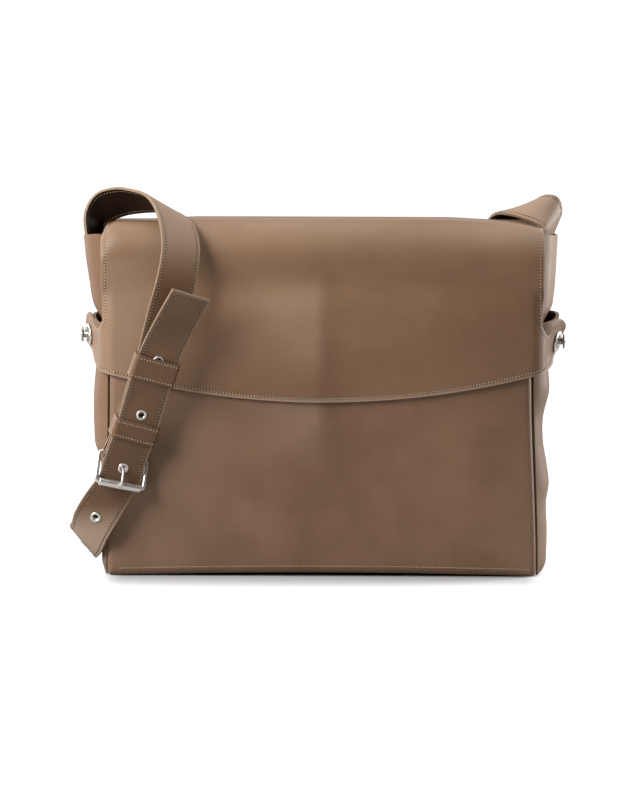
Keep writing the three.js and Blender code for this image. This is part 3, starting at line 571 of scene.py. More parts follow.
def gusset(side, table):
    rows = bow_rows(table)
    top, foot = rows[0], rows[-1]
    for angle in quarter(FOOT_STEPS)[1:]:
        rows.append({"z": foot["z"] - (foot["z"] - WALL / 2) * math.sin(angle),
                     "out": foot["out"] - GUSSET["corner"] * (1 - math.cos(angle)),
                     "under": angle / (math.pi / 2)})
    rows.append({"z": WALL / 2, "out": 0, "end": True})

    def place(f, row):
        p = side_point(side, GUSSET, f, row)
        if side > 0 and f < 0:
            past = abs(f) - GUSSET_FOLD["at"]
            inner = (1 - GUSSET_FOLD["bow"]) * past / GUSSET_FOLD["at"]
            outer = GUSSET_FOLD["bow"] * past / (1 - GUSSET_FOLD["at"])
            bent = GUSSET_FOLD["bow"] - max(inner, outer) - (1 - abs(f) ** BOW_POWER)
            p.x += side * row["out"] * bent * smooth(row["z"], GUSSET_FOLD["low"], GUSSET_FOLD["high"])
        if "under" in row:
            bow = foot["out"] * (1 - abs(f) ** BOW_POWER) * (1 - row["under"])
            p.x = side * (GUSSET["seam"] + bow + row["out"] - foot["out"])
        if "end" in row:
            p.x = side * GUSSET["end"]
        near = smooth(row["z"], top["z"] - GUSSET_TOP["reach"], top["z"])
        dip = GUSSET_TOP["dip"] * smooth(abs(f), GUSSET_TOP["from"], 1)
        p.z += near * (GUSSET_TOP["rise"] * f * f - dip)
        return p

    bm = bmesh.new()
    lay_net(bm, across_side(side), rows, place)
    return bm


def gusset_painted_light(vert):
    """Painted highlight: paler beyond the fold, above the pocket, on the half that faces the right lamp."""
    return GUSSET_PAINTED_LIGHT["pale"] * smooth(vert.co.y, *GUSSET_PAINTED_LIGHT["y"]) * smooth(vert.co.z, *GUSSET_PAINTED_LIGHT["z"])


for word, side in SIDES.items():
    side_wall = gusset(side, GUSSET_BOW[word])
    if word == "right":
        wear_and_light(side_wall, gusset_painted_light)
    name = f"gusset_{word}"
    thicken(add_piece(name + "_leather", side_wall, body_finishes, [name]), WALL)

# Side pockets: a second panel sewn over the lower part of each side wall. Its top edge is folded over
# to the outside into a narrow hem, stitched once, and stands open.
POCKET = {"seam": 196, "half": 50, "foot_half": 49}
POCKET_HEM = {"tall": 6.5, "row": 1.6, "reach": 0.985, "thick": 1.3}
POCKET_SEAM = {"below": 4.4, "reach": 0.95, "step": 0.04}
POCKET_DIP = {"deep": 7, "from": 0.1, "low": 200, "high": 236}
POCKET_BOW = {
    "left": [
        {"z": 236, "out": 12.8}, {"z": 225, "out": 9.8}, {"z": 206, "out": 9.3}, {"z": 186, "out": 11},
        {"z": 160, "out": 13}, {"z": 130, "out": 12.5}, {"z": 117, "out": 11.5}, {"z": 106, "out": 7},
        {"z": 88, "out": 5.5}, {"z": 50, "out": 5.5}, {"z": 14, "out": 5.5}, {"z": 7, "out": 4},
        {"z": 3, "out": 2}, {"z": 1.2, "out": 0},
    ],
    "right": [
        {"z": 238, "out": 19}, {"z": 231, "out": 18}, {"z": 225, "out": 15}, {"z": 218, "out": 10.6},
        {"z": 208, "out": 9.4}, {"z": 190, "out": 10.2}, {"z": 168, "out": 11.5}, {"z": 152, "out": 7.5},
        {"z": 140, "out": 5.5}, {"z": 122, "out": 6}, {"z": 99, "out": 10}, {"z": 82, "out": 12},
        {"z": 64, "out": 9.5}, {"z": 40, "out": 10.5}, {"z": 14, "out": 10}, {"z": 7, "out": 8.5},
        {"z": 3, "out": 5.5}, {"z": 1.2, "out": 1},
    ],
}


def pocket_point(side, f, row):
    """The mouth of the pocket dips towards the front."""
    p = side_point(side, POCKET, f, row)
    near = smooth(row["z"], POCKET_DIP["low"], POCKET_DIP["high"])
    p.z -= POCKET_DIP["deep"] * smooth(-f, POCKET_DIP["from"], 1) * near
    return p


for word, side in SIDES.items():
    rows = bow_rows(POCKET_BOW[word])
    columns = across_side(side)
    pocket = bmesh.new()
    lay_net(pocket, columns, rows, lambda f, row: pocket_point(side, f, row))
    top = rows[0]["z"]
    heights, bows = [row["z"] for row in rows[::-1]], [row["out"] for row in rows[::-1]]
    proud = (WALL + POCKET_HEM["thick"]) / 2

    def hem_point(f, z):
        p = pocket_point(side, f, {"z": z, "out": float(np.interp(z, heights, bows))})
        return p + Vector((side * proud, 0, 0))

    hem = bmesh.new()
    hem_rows = spread(top, top - POCKET_HEM["tall"], POCKET_HEM["row"])
    lay_net(hem, [f * POCKET_HEM["reach"] for f in columns], hem_rows, hem_point)
    shares = spread(-POCKET_SEAM["reach"], POCKET_SEAM["reach"], POCKET_SEAM["step"])
    seam = [hem_point(f, top - POCKET_SEAM["below"]) for f in shares]
    stitches = sewn(seam, BVHTree.FromBMesh(hem), POCKET_HEM["thick"] / 2)
    name = f"pocket_{word}"
    thicken(add_piece(name + "_leather", pocket, body_finishes, [name]), WALL)
    thicken(add_piece(name + "_hem", hem, body_finishes), POCKET_HEM["thick"])
    add_stitches(name + "_thread", stitches)

# Flap: one piece of leather 2.2 mm thick, sewn to the back, over the top and down the front, with a
# curved lower edge. An ear each side is wrapped round the corner; a row of stitches runs round it all.
FLAP_WALL, FLAP_HALF = 2.2, 200
FLAP_FRONT, FLAP_BACK, FLAP_HEM = -58.8, 58.8, 252
BACK_BEND, FRONT_BEND, FRONT_ROLL = 16, 20, 30
FLAP_EDGE_MIDDLE, FLAP_EDGE_RISE = 160, 26
FLAP_NET = {"edge": 178, "fine": 1.3, "crease": (-20, 8), "close": 2, "wide": 7}
FLAP_ROWS = {"hem": 6, "back_bend": 7, "top": 7, "front_bend": 12, "front": 4, "ear": 0.2, "below": 0.06}
CORNER = {"start": 188, "radius": 14, "full": 234, "none": 266}
CORNER_FALL = {
    "left": {"start": 181, "drop": 12, "power": 2.6, "depth": (-30, 30)},
    "right": {"start": 155, "drop": 7, "power": 2, "depth": (-18, 28)},
    "low": 266, "high": 314,
}
FLAP_RISE = {"high": 2.2, "start": 110, "stop": 165, "low": 285}
EAR_LEAN = {"start": 202, "stop": 236, "below": -11, "level": 8}
EAR_CURL = {"low": 4, "high": 14, "start": 240, "reach": 23}
EAR_SIDE = {
    "left": {"angle": math.radians(74), "lean": 0.08, "lift": 5, "up": 0, "down": 0.012, "curl": 0},
    "right": {"angle": math.radians(72), "lean": 0.2, "lift": 0, "up": 0.006, "down": 0.04, "curl": 5},
}
EAR_BLEND, EAR_START, EAR_STEPS = 175, 247, 4
EAR = [
    {"run": 200, "top": 228, "bottom": 186}, {"run": 203.5, "top": 223.5, "bottom": 186.4},
    {"run": 209, "top": 220.3, "bottom": 187.6}, {"run": 217, "top": 219.8, "bottom": 190.2},
    {"run": 224, "top": 223, "bottom": 192.8}, {"run": 230, "top": 228.5, "bottom": 195},
    {"run": 238, "top": 231.9, "bottom": 197.5}, {"run": 248, "top": 232.2, "bottom": 200.5},
    {"run": 257, "top": 227.5, "bottom": 204}, {"run": 263, "top": 218, "bottom": 210},
]
FLAP_SEAM = {"inset": 3.4, "lead": 4, "step": 6}
BACK_SEAM = {"half": 194, "step": 8}
FLAP_PIT = 0.95
LOCK = {"run": 246, "z": 212.5, "slot_long": 16, "slot_tall": 9}
# Paler flap: wear along the cut edge; painted highlight and sheen over the top bend, left of the crease and
# at the far left.
FLAP_WEAR_AND_LIGHT = {
    "edge": 0.6, "top": 0.18, "top_right": 0.24, "right_x": (80, 180), "top_z": 311, "top_tall": 13,
    "behind": 0.4, "lightened": 0.25, "soft": 60, "steep": 9, "foot": (165, 225), "head": (245, 285),
    "outer": 0.24, "outer_x": (-190, -100), "outer_z": (280, 300),
}
FLAP_PALE, FLAP_DEEP, FLAP_GLOSS = (0.210, 0.119, 0.065), (0.160, 0.086, 0.045), 0.32
DOUBLES = 0.01
flap_leather = leather("flap_leather", FLAP_PALE, FLAP_DEEP, FLAP_GLOSS)


def corner_fall(x, y, z):
    """How far the flap's front corners sink at the top; its back stays level."""
    corner = CORNER_FALL["left" if x < 0 else "right"]
    share = min(max((abs(x) - corner["start"]) / (FLAP_HALF - corner["start"]), 0), 1)
    near = smooth(z, CORNER_FALL["low"], CORNER_FALL["high"]) * (1 - smooth(y, *corner["depth"]))
    return corner["drop"] * share ** corner["power"] * near


def ear_side(run):
    return EAR_SIDE["left" if run < 0 else "right"]


def ear_top(run):
    """Height on the flap's front where its ears begin."""
    return EAR[0]["top"] + ear_side(run)["lift"] * smooth(abs(run), EAR_BLEND, FLAP_HALF)


def lock_height(side):
    return LOCK["z"] + ear_side(side)["lift"]


def ear_lean(run, z):
    """How far an ear leans, flares and curls away from the side of the bag."""
    ear, reach = ear_side(run), abs(run)
    above = z - lock_height(run)
    hung = smooth(reach, EAR_LEAN["start"], EAR_LEAN["stop"])
    flare = ear["up" if above > 0 else "down"] * max(0, abs(above) - EAR_LEAN["level"]) ** 2
    curl = ear["curl"] * smooth(above, EAR_CURL["low"], EAR_CURL["high"])
    curl *= max(0, (reach - EAR_CURL["start"]) / EAR_CURL["reach"]) ** 2
    return (ear["lean"] * max(above, EAR_LEAN["below"]) + flare) * hung + curl


def flap_point(run, y, z):
    """A point of the flap from its run across the flat leather and the depth and height of its row."""
    reach, side = abs(run), math.copysign(1, run)
    p = Vector((run, y, z))
    p.y -= swell(run, z) * max(0, 1 - (y - FLAP_FRONT) / FRONT_BEND)
    if y == FLAP_FRONT and reach > CORNER["start"]:
        ear = ear_side(run)
        past = reach - CORNER["start"]
        held = 1 - smooth(z, CORNER["full"] + ear["lift"], CORNER["none"])
        turn = min(past / CORNER["radius"], ear["angle"] * held)
        straight = past - turn * CORNER["radius"]
        round_corner = CORNER["radius"] * math.sin(turn) + straight * math.cos(turn)
        p.x = side * (CORNER["start"] + round_corner + ear_lean(run, z))
        p.y += CORNER["radius"] * (1 - math.cos(turn)) + straight * math.sin(turn)
    middle = 1 - smooth(reach, FLAP_RISE["start"], FLAP_RISE["stop"])
    p.z += FLAP_RISE["high"] * middle * smooth(z, FLAP_RISE["low"], BODY_HEIGHT) - corner_fall(p.x, y, z)
    return p


def flap_rows():
    """Depth and height of each row, from the hem on the back, over the top and down the front, and how
    far it has come towards the ears."""
    top = BODY_HEIGHT - FLAP_WALL / 2
    back, front = FLAP_BACK - BACK_BEND, FLAP_FRONT + FRONT_BEND
    rows = [(FLAP_BACK, z, 0) for z in spread(FLAP_HEM, top - BACK_BEND, FLAP_ROWS["hem"])]
    for a in quarter(FLAP_ROWS["back_bend"])[1:]:
        rows.append((back + BACK_BEND * math.cos(a), top - BACK_BEND * (1 - math.sin(a)), 0))
    rows += [(y, top, 0) for y in spread(back, front, FLAP_ROWS["top"])[1:]]
    for a in quarter(FLAP_ROWS["front_bend"])[-2:0:-1]:
        rows.append((front - FRONT_BEND * math.cos(a), top - FRONT_ROLL * (1 - math.sin(a)), 0))
    rows += [(FLAP_FRONT, z, 0) for z in spread(top - FRONT_ROLL, EAR_START, FLAP_ROWS["front"])]
    return rows + [(FLAP_FRONT, EAR_START, share) for share in spread(0, 1, FLAP_ROWS["ear"])[1:]]


def flap_spot(run, row):
    y, z, share = row
    return flap_point(run, y, mix(z, ear_top(run), share))


def flap_edge(run):
    return FLAP_EDGE_MIDDLE + FLAP_EDGE_RISE * (run / FLAP_HALF) ** 2


def ear_rows(side):
    """Run, top and bottom of the ear on one side."""
    lift = ear_side(side)["lift"]
    table = []
    for row in EAR:
        lifted = lift * smooth(row["run"], FLAP_HALF, LOCK["run"])
        table.append((row["run"], row["top"] + lift, row["bottom"] + lifted))
    return [{"run": p[0], "top": p[1], "bottom": p[2]} for p in spline(table, EAR_STEPS)]


def flap_columns():
    """Runs across the flap, closer together at the crease and at both corners."""
    edge, (left, right) = FLAP_NET["edge"], FLAP_NET["crease"]
    columns = spread(-FLAP_HALF, -edge, FLAP_NET["fine"]) + spread(-edge, left, FLAP_NET["wide"])[1:-1]
    columns += spread(left, right, FLAP_NET["close"]) + spread(right, edge, FLAP_NET["wide"])[1:-1]
    return columns + spread(edge, FLAP_HALF, FLAP_NET["fine"])


shares = spread(0, 1, FLAP_ROWS["below"])
rows = flap_rows()
flap = bmesh.new()
lay_net(flap, flap_columns(), rows, flap_spot)
lay_net(flap, flap_columns(), shares,
        lambda run, share: flap_point(run, FLAP_FRONT, mix(ear_top(run), flap_edge(run), share)))
for side in SIDES.values():
    ear = ear_rows(side)

    def ear_spot(row, share):
        return flap_point(side * row["run"], FLAP_FRONT, mix(row["top"], row["bottom"], share))

    lay_net(flap, ear if side > 0 else ear[::-1], shares, ear_spot)
bmesh.ops.remove_doubles(flap, verts=flap.verts, dist=DOUBLES)
flap.normal_update()
flap_tree = BVHTree.FromBMesh(flap)


def flap_seam(side):
    """The stitched line on one side, a little in from the outline: from the back hem over the top, down
    the side, round the ear and along the lower edge to its middle."""
    ear = ear_rows(side)
    outline = [(row["run"], row["top"]) for row in ear] + [(row["run"], row["bottom"]) for row in ear[::-1]]
    outline += [(run, flap_edge(run)) for run in spread(FLAP_HALF, 0, FLAP_SEAM["step"])[1:]]
    lead = (FLAP_HALF, ear[0]["top"] + FLAP_SEAM["lead"])
    inset = []
    for before, here, after in zip([lead] + outline, outline, outline[1:]):
        along = (Vector(after) - Vector(before)).normalized()
        inset.append(Vector(here) + Vector((along.y, -along.x)) * FLAP_SEAM["inset"])
    line = [flap_spot(side * (FLAP_HALF - FLAP_SEAM["inset"]), row) for row in rows[1:-1]]
    line += [flap_point(side * run, FLAP_FRONT, z) for run, z in inset]
    return line + [flap_point(0, FLAP_FRONT, flap_edge(0) + FLAP_SEAM["inset"])]


back_runs = spread(-BACK_SEAM["half"], BACK_SEAM["half"], BACK_SEAM["step"])
back_hem = [flap_point(run, FLAP_BACK, FLAP_HEM + FLAP_SEAM["inset"]) for run in back_runs]
flap_stitches = sewn(flap_seam(1) + flap_seam(-1)[-2::-1], flap_tree, FLAP_WALL / 2)
flap_stitches += sewn(back_hem, flap_tree, FLAP_WALL / 2)
lock_spots = [flap_point(side * LOCK["run"], FLAP_FRONT, lock_height(side)) for side in SIDES.values()]
inside_slot = [face for face in flap.faces for spot in lock_spots
               if abs((face.calc_center_median() - spot).z) < LOCK["slot_tall"] / 2
               and (face.calc_center_median() - spot).length < LOCK["slot_long"] / 2]
bmesh.ops.delete(flap, geom=inside_slot, context="FACES")


def flap_wear_and_light(vert):
    """Paler along the cut edge from wear; painted highlight over the top, on the left of the crease and at
    the far left.
    """
    if vert.is_boundary:
        return FLAP_WEAR_AND_LIGHT["edge"]
    x, y, z = vert.co
    top = FLAP_WEAR_AND_LIGHT["top"] + FLAP_WEAR_AND_LIGHT["top_right"] * smooth(x, *FLAP_WEAR_AND_LIGHT["right_x"])
    top *= hump(z - FLAP_WEAR_AND_LIGHT["top_z"], FLAP_WEAR_AND_LIGHT["top_tall"])
    if y >= 0:
        return FLAP_WEAR_AND_LIGHT["behind"] * top
    lightened = FLAP_WEAR_AND_LIGHT["lightened"] * beside_crease(x, FLAP_WEAR_AND_LIGHT["soft"], FLAP_WEAR_AND_LIGHT["steep"])
    lightened *= smooth(z, *FLAP_WEAR_AND_LIGHT["foot"]) * (1 - smooth(z, *FLAP_WEAR_AND_LIGHT["head"]))
    outer = FLAP_WEAR_AND_LIGHT["outer"] * (1 - smooth(x, *FLAP_WEAR_AND_LIGHT["outer_x"]))
    return top + lightened + outer * (1 - smooth(z, *FLAP_WEAR_AND_LIGHT["outer_z"]))


wear_and_light(flap, flap_wear_and_light)
flap_finishes = [flap_leather, raw_edge, shaded_lining]
thicken(add_piece("flap_leather", flap, flap_finishes, ["flap"]), FLAP_WALL)
add_stitches("flap_thread", flap_stitches, pit_size=FLAP_PIT)

# Shoulder strap: two straps of doubled leather, 38 mm wide and 2.6 mm thick, sewn along both edges. The
# short one is folded round the buckle's heel bar; the long one has holes and runs round the back.
STRAP_WIDTH, STRAP_THICK, STRAP_PITCH, STRAP_EDGE_ROUND = 38, 2.6, 4.8, 0.6
STRAP_SEAM, STRAP_SEAM_STEP = 3.3, 3
STRAP_CROWN = {"rise": 0.25, "power": 6}
STRAP_NET = {"along": 4, "aside": 2, "middle": 7, "fine": 1}
COURSE_STEPS = 16
BUCKLE_STRAP = [
    {"x": -201.6, "y": 0, "z": 258, "yaw": 80, "drop": 0},
    {"x": -206.4, "y": 0, "z": 286, "yaw": 78, "drop": 0},
    {"x": -207.2, "y": 0, "z": 308, "yaw": 62, "drop": 2},
    {"x": -209.3, "y": -1, "z": 321, "yaw": 63, "drop": 26},
    {"x": -203.5, "y": -4, "z": 331.5, "yaw": 72, "drop": 47},
    {"x": -186, "y": -6, "z": 338.8, "yaw": 66, "drop": 40},
    {"x": -164, "y": -17, "z": 340, "yaw": 45, "drop": 32},
    {"x": -145, "y": -40, "z": 336.5, "yaw": 33, "drop": 27},
    {"x": -132.5, "y": -67, "z": 324, "yaw": 29, "drop": 17},
    {"x": -127, "y": -84, "z": 301, "yaw": 30, "drop": 8},
    {"x": -130.5, "y": -95, "z": 272, "yaw": 27, "drop": 7},
    {"x": -138.2, "y": -98.5, "z": 240, "yaw": 20, "drop": 11.5},
]
HOLE_STRAP = [
    {"x": 202.4, "y": 0, "z": 258, "yaw": 82, "drop": 0},
    {"x": 206, "y": 0, "z": 286, "yaw": 81, "drop": 0},
    {"x": 206.2, "y": 0, "z": 305, "yaw": 74, "drop": -1},
    {"x": 208.4, "y": -0.5, "z": 314.5, "yaw": 68, "drop": -10},
    {"x": 211, "y": -1, "z": 323.5, "yaw": 58, "drop": -25},
    {"x": 205, "y": 0, "z": 332, "yaw": 45, "drop": -37},
    {"x": 193, "y": 7, "z": 335.5, "yaw": 32, "drop": -30},
    {"x": 186, "y": 25, "z": 335, "yaw": 20, "drop": -22},
    {"x": 179, "y": 45, "z": 330, "yaw": 10, "drop": -8},
    {"x": 172, "y": 63, "z": 316, "yaw": 4, "drop": 10},
    {"x": 158, "y": 71, "z": 290, "yaw": 0, "drop": 32},
    {"x": 122, "y": 71, "z": 259, "yaw": 0, "drop": 48},
    {"x": 40, "y": 69, "z": 203, "yaw": 0, "drop": 54},
    {"x": -60, "y": 69, "z": 133, "yaw": 0, "drop": 55},
    {"x": -150, "y": 69, "z": 75, "yaw": 0, "drop": 54},
    {"x": -190, "y": 68, "z": 49, "yaw": 0, "drop": 53},
    {"x": -212, "y": 56, "z": 33, "yaw": 0, "drop": 52},
    {"x": -219.5, "y": 34, "z": 27, "yaw": 0, "drop": 52},
    {"x": -219.5, "y": -18, "z": 27, "yaw": 0, "drop": 51},
    {"x": -215, "y": -47, "z": 32.5, "yaw": 0, "drop": 48},
    {"x": -208, "y": -69, "z": 49.5, "yaw": 5, "drop": 37},
    {"x": -196.5, "y": -75, "z": 69.5, "yaw": 11, "drop": 24},
]
BUCKLE = {"x": -183.7, "y": -76, "z": 87.5, "yaw": 18, "drop": 12.5, "lean": math.radians(16.5)}
STRAIGHT_UPS = [4, 12, 24, 44, 60, 80, 100, 122]
SHIFT = {"right": 2.5, "start": 14, "stop": 64}
BEND = {"start": 95, "rate": 0.0016}
TAIL = [
    {"up": 136, "right": 5.1, "ahead": 0.6, "yaw": 20.5, "drop": 14},
    {"up": 152, "right": 7.5, "ahead": 2.4, "yaw": 23, "drop": 15},
    {"up": 170, "right": 10.6, "ahead": 4.8, "yaw": 26, "drop": 16},
    {"up": 188, "right": 14.2, "ahead": 7, "yaw": 27, "drop": 16.5},
]
HEEL = {"up": 24, "fold": 3.9, "steps": 14, "back": 46, "step": 3, "settle": 12, "near": 12}
HEEL_SLOT = {"half": 3, "reach": 8}
EYELET_COUNT = 5
EYELET_CUT, EYELET_SLACK, EYELET_NEAR = 3.7, 0.3, 6
# Paler strap: wear along the cut edge; painted highlight over the top and at the lower fold.
STRAP_WEAR_AND_LIGHT = {
    "edge": 0.5, "top": 0.46, "top_right": 0.12, "right_x": (150, 190), "top_z": (265, 315),
    "fold": 0.85, "fold_z": (38, 72), "fold_y": (20, 50),
}
STRAP_PALE, STRAP_DEEP, STRAP_GLOSS = (0.176, 0.094, 0.047), (0.130, 0.067, 0.034), 0.3
# Darker copy of the beige thread on the straps: painted shade on their stitches, the same thread as
# elsewhere.
SHADED_THREAD_COLOUR, STRAP_PIT = (0.33, 0.23, 0.15), 1.0
strap_leather = leather("strap_leather", STRAP_PALE, STRAP_DEEP, STRAP_GLOSS)
shaded_strap_thread = thread("shaded_strap_thread", SHADED_THREAD_COLOUR, THREAD_ROUGHNESS)
strap_finishes = [strap_leather, raw_edge, shaded_lining]


def across(yaw, drop):
    level = math.cos(math.radians(drop))
    yaw = math.radians(yaw)
    return Vector((math.cos(yaw) * level, math.sin(yaw) * level, -math.sin(math.radians(drop))))


def strap_row(row):
    return Vector((row["x"], row["y"], row["z"])), across(row["yaw"], row["drop"])


buckle_start, buckle_across = strap_row(BUCKLE)
buckle_up = Vector((math.sin(BUCKLE["lean"]), 0, math.cos(BUCKLE["lean"])))
buckle_up.y = -(buckle_up.x * buckle_across.x + buckle_up.z * buckle_across.z) / buckle_across.y
buckle_up.normalize()
buckle_ahead = buckle_across.cross(buckle_up)


def buckle_spot(up, right, ahead):
    return buckle_start + buckle_up * up + buckle_across * right + buckle_ahead * ahead


def leaning(up, ahead):
    """Both straps move over to the right above the buckle, and lean further above the lower keeper."""
    past = max(0, up - BEND["start"])
    right = SHIFT["right"] * smooth(up, SHIFT["start"], SHIFT["stop"]) + BEND["rate"] * past * past
    return buckle_spot(up, right, ahead), buckle_across


def course(rows):
    """Middle and width direction of the strap, close together along it."""
    line = spline([(*middle, *width) for middle, width in rows], COURSE_STEPS)
    return [(Vector(p[0:3]), Vector(p[3:6]).normalized()) for p in line]


def strap_lengths(sections):
    steps = [(b[0] - a[0]).length for a, b in zip(sections, sections[1:])]
    return np.concatenate(([0], np.cumsum(steps)))


def strap_at(sections, lengths, length):
    """Middle, width, face and run of the strap at a length along it."""
    i = min(max(int(np.searchsorted(lengths, length)), 1), len(sections) - 1)
    share = (length - lengths[i - 1]) / (lengths[i] - lengths[i - 1])
    middle = sections[i - 1][0].lerp(sections[i][0], share)
    width = sections[i - 1][1].lerp(sections[i][1], share).normalized()
    after, before = sections[min(i + 1, len(sections) - 1)][0], sections[max(i - 2, 0)][0]
    face = width.cross(after - before).normalized()
    return {"middle": middle, "width": width, "face": face, "along": face.cross(width)}


def strap_net(sections, extra_lengths, outside):
    """The strap as a net along its course, crowned a little between its seams."""
    lengths = strap_lengths(sections)
    stops = sorted({round(v, 3) for v in [*spread(0, lengths[-1], STRAP_NET["along"]), *extra_lengths]})
    half, middle = STRAP_WIDTH / 2, STRAP_NET["middle"]
    columns = spread(-half, -middle, STRAP_NET["aside"]) + spread(-middle, middle, STRAP_NET["fine"])[1:-1]
    columns += spread(middle, half, STRAP_NET["aside"])

    def place(aside, length):
        at = strap_at(sections, lengths, length)
        crown = 1 - min(1, abs(aside) / (half - STRAP_SEAM)) ** STRAP_CROWN["power"]
        return at["middle"] + at["width"] * aside + at["face"] * (outside * STRAP_CROWN["rise"] * crown)

    bm = bmesh.new()
    lay_net(bm, columns, stops, place)
    if bm.faces[:][0].normal.dot(strap_at(sections, lengths, 0)["face"]) * outside < 0:
        bmesh.ops.reverse_faces(bm, faces=bm.faces)
    bm.normal_update()
    return bm, place, lengths


def strap_stitches(bm, place, lengths, closed_end):
    tree = BVHTree.FromBMesh(bm)
    edge = STRAP_WIDTH / 2 - STRAP_SEAM
    stop = lengths[-1] - (STRAP_SEAM if closed_end else 0)
    runs = spread(STRAP_SEAM, stop, STRAP_SEAM_STEP)
    lines = [[place(aside, run) for run in runs] for aside in (-edge, edge)]
    if closed_end:
        lines.append([place(aside, stop) for aside in spread(-edge, edge, STRAP_SEAM_STEP)])
    both_faces = [(line, side) for line in lines for side in (1, -1)]
    return [stitch for line, side in both_faces for stitch in sewn(line, tree, STRAP_THICK / 2, side)]


def strap_wear_and_light(vert):
    """Paler along the cut edge from wear; painted highlight where the strap is bent, over the top and at the
    lower fold.
    """
    if vert.is_boundary:
        return STRAP_WEAR_AND_LIGHT["edge"]
    x, y, z = vert.co
    top = STRAP_WEAR_AND_LIGHT["top"] + STRAP_WEAR_AND_LIGHT["top_right"] * smooth(x, *STRAP_WEAR_AND_LIGHT["right_x"])
    fold = STRAP_WEAR_AND_LIGHT["fold"] * (1 - smooth(z, *STRAP_WEAR_AND_LIGHT["fold_z"])) * smooth(-y, *STRAP_WEAR_AND_LIGHT["fold_y"])
    return top * smooth(z, *STRAP_WEAR_AND_LIGHT["top_z"]) + fold


def add_strap(name, bm, stitches):
    wear_and_light(bm, strap_wear_and_light)
    piece = add_piece(name + "_leather", bm, strap_finishes, [name])
    thicken(piece, STRAP_THICK, STRAP_EDGE_ROUND)
    add_stitches(name + "_thread", stitches, shaded_strap_thread, STRAP_PIT)


tail = [(buckle_spot(row["up"], row["right"], row["ahead"]), across(row["yaw"], row["drop"])) for row in TAIL]
hole_course = course([*map(strap_row, HOLE_STRAP), *[leaning(up, 0) for up in STRAIGHT_UPS], *tail])
hole_lengths = strap_lengths(hole_course)
eyelet_centres = [sum(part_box(f"eyelet_{i + 1}"), Vector()) / 2 / MM for i in range(EYELET_COUNT)]
eyelet_lengths = []
for centre in eyelet_centres:
    nearest = min(range(len(hole_course)), key=lambda i: (hole_course[i][0] - centre).length)
    at = strap_at(hole_course, hole_lengths, hole_lengths[nearest])
    eyelet_lengths.append(hole_lengths[nearest] + (centre - at["middle"]).dot(at["along"]))
around = spread(-EYELET_NEAR, EYELET_NEAR, STRAP_NET["fine"])
near_holes = [length + off for length in eyelet_lengths for off in around]
hole_strap, hole_place, hole_lengths = strap_net(hole_course, near_holes, 1)
hole_stitches = strap_stitches(hole_strap, hole_place, hole_lengths, True)
punched = [face for face in hole_strap.faces
           if min((face.calc_center_median() - c).length for c in eyelet_centres) < EYELET_CUT + EYELET_SLACK]
bmesh.ops.delete(hole_strap, geom=punched, context="FACES")
for vert in hole_strap.verts:
    centre = min(eyelet_centres, key=lambda c: (vert.co - c).length)
    if vert.is_boundary and (vert.co - centre).length < 2 * EYELET_CUT:
        vert.co = centre + (vert.co - centre).normalized() * EYELET_CUT
add_strap("hole_strap", hole_strap, hole_stitches)

heel_ahead = -STRAP_PITCH - HEEL["fold"]
under = [leaning(up, -STRAP_PITCH) for up in reversed(STRAIGHT_UPS) if up >= HEEL["up"]]
buckle_course = course([*map(strap_row, BUCKLE_STRAP), *under])
for i in range(1, HEEL["steps"] + 1):
    turn = math.pi * i / HEEL["steps"]
    up, ahead = HEEL["up"] - HEEL["fold"] * math.sin(turn), heel_ahead + HEEL["fold"] * math.cos(turn)
    buckle_course.append((buckle_spot(up, 0, ahead), buckle_across))
for rise in spread(0, HEEL["back"], HEEL["step"])[1:]:
    ahead = mix(heel_ahead - HEEL["fold"], -2 * STRAP_PITCH, smooth(rise, 0, HEEL["settle"]))
    buckle_course.append(leaning(HEEL["up"] + rise, ahead))
fold_length = strap_lengths(buckle_course)[-1] - HEEL["back"] - math.pi * HEEL["fold"] / 2
near_fold = [fold_length + off for off in spread(-HEEL["near"], HEEL["near"], STRAP_NET["fine"])]
buckle_strap, buckle_place, buckle_lengths = strap_net(buckle_course, near_fold, -1)
buckle_stitches = strap_stitches(buckle_strap, buckle_place, buckle_lengths, False)
heel_bar = buckle_spot(HEEL["up"], 0, heel_ahead)
slot = [face for face in buckle_strap.faces
        if abs((face.calc_center_median() - heel_bar).dot(buckle_across)) < HEEL_SLOT["half"]
        and (face.calc_center_median() - heel_bar).length < HEEL_SLOT["reach"]]
bmesh.ops.delete(buckle_strap, geom=slot, context="FACES")
add_strap("buckle_strap", buckle_strap, buckle_stitches)

# Keepers: two bands of the strap leather, 1.6 mm thick, closed round the layers of the strap and sewn
# along both edges. They hold the tail of the long strap flat.
KEEPER_THICK, KEEPER_ROOM, KEEPER_SEAM, KEEPER_ROW = 1.6, 0.7, 2.6, 2
KEEPER_BACK = 1.5
KEEPER_CORNER = {"radius": 2.6, "steps": 6, "clear": 4, "step": 3}
KEEPERS = [
    {"name": "keeper_upper", "up": 110.5, "tall": 22, "layers": 2, "front": 3.3},
    {"name": "keeper_lower", "up": 50.4, "tall": 18, "layers": 3, "front": 2.2},
]


def loop_round(half_wide, back, front):
    """Points round a band with rounded corners, closed on themselves."""
    radius, clear = KEEPER_CORNER["radius"], KEEPER_CORNER["clear"]
    flat = spread(clear, 2 * half_wide - clear, KEEPER_CORNER["step"])
    points = []
    for x, y, start in ((1, front, 0), (-1, front, 90), (-1, back, 180), (1, back, 270)):
        inward = radius if y == front else -radius
        middle = Vector((x * (half_wide - radius), y - inward))
        for angle in quarter(KEEPER_CORNER["steps"]):
            angle += math.radians(start)
            points.append(middle + radius * Vector((math.cos(angle), math.sin(angle))))
        if start in (0, 180):
            points += [Vector((x * (half_wide - off), y)) for off in flat]
    return [*points, points[0]]


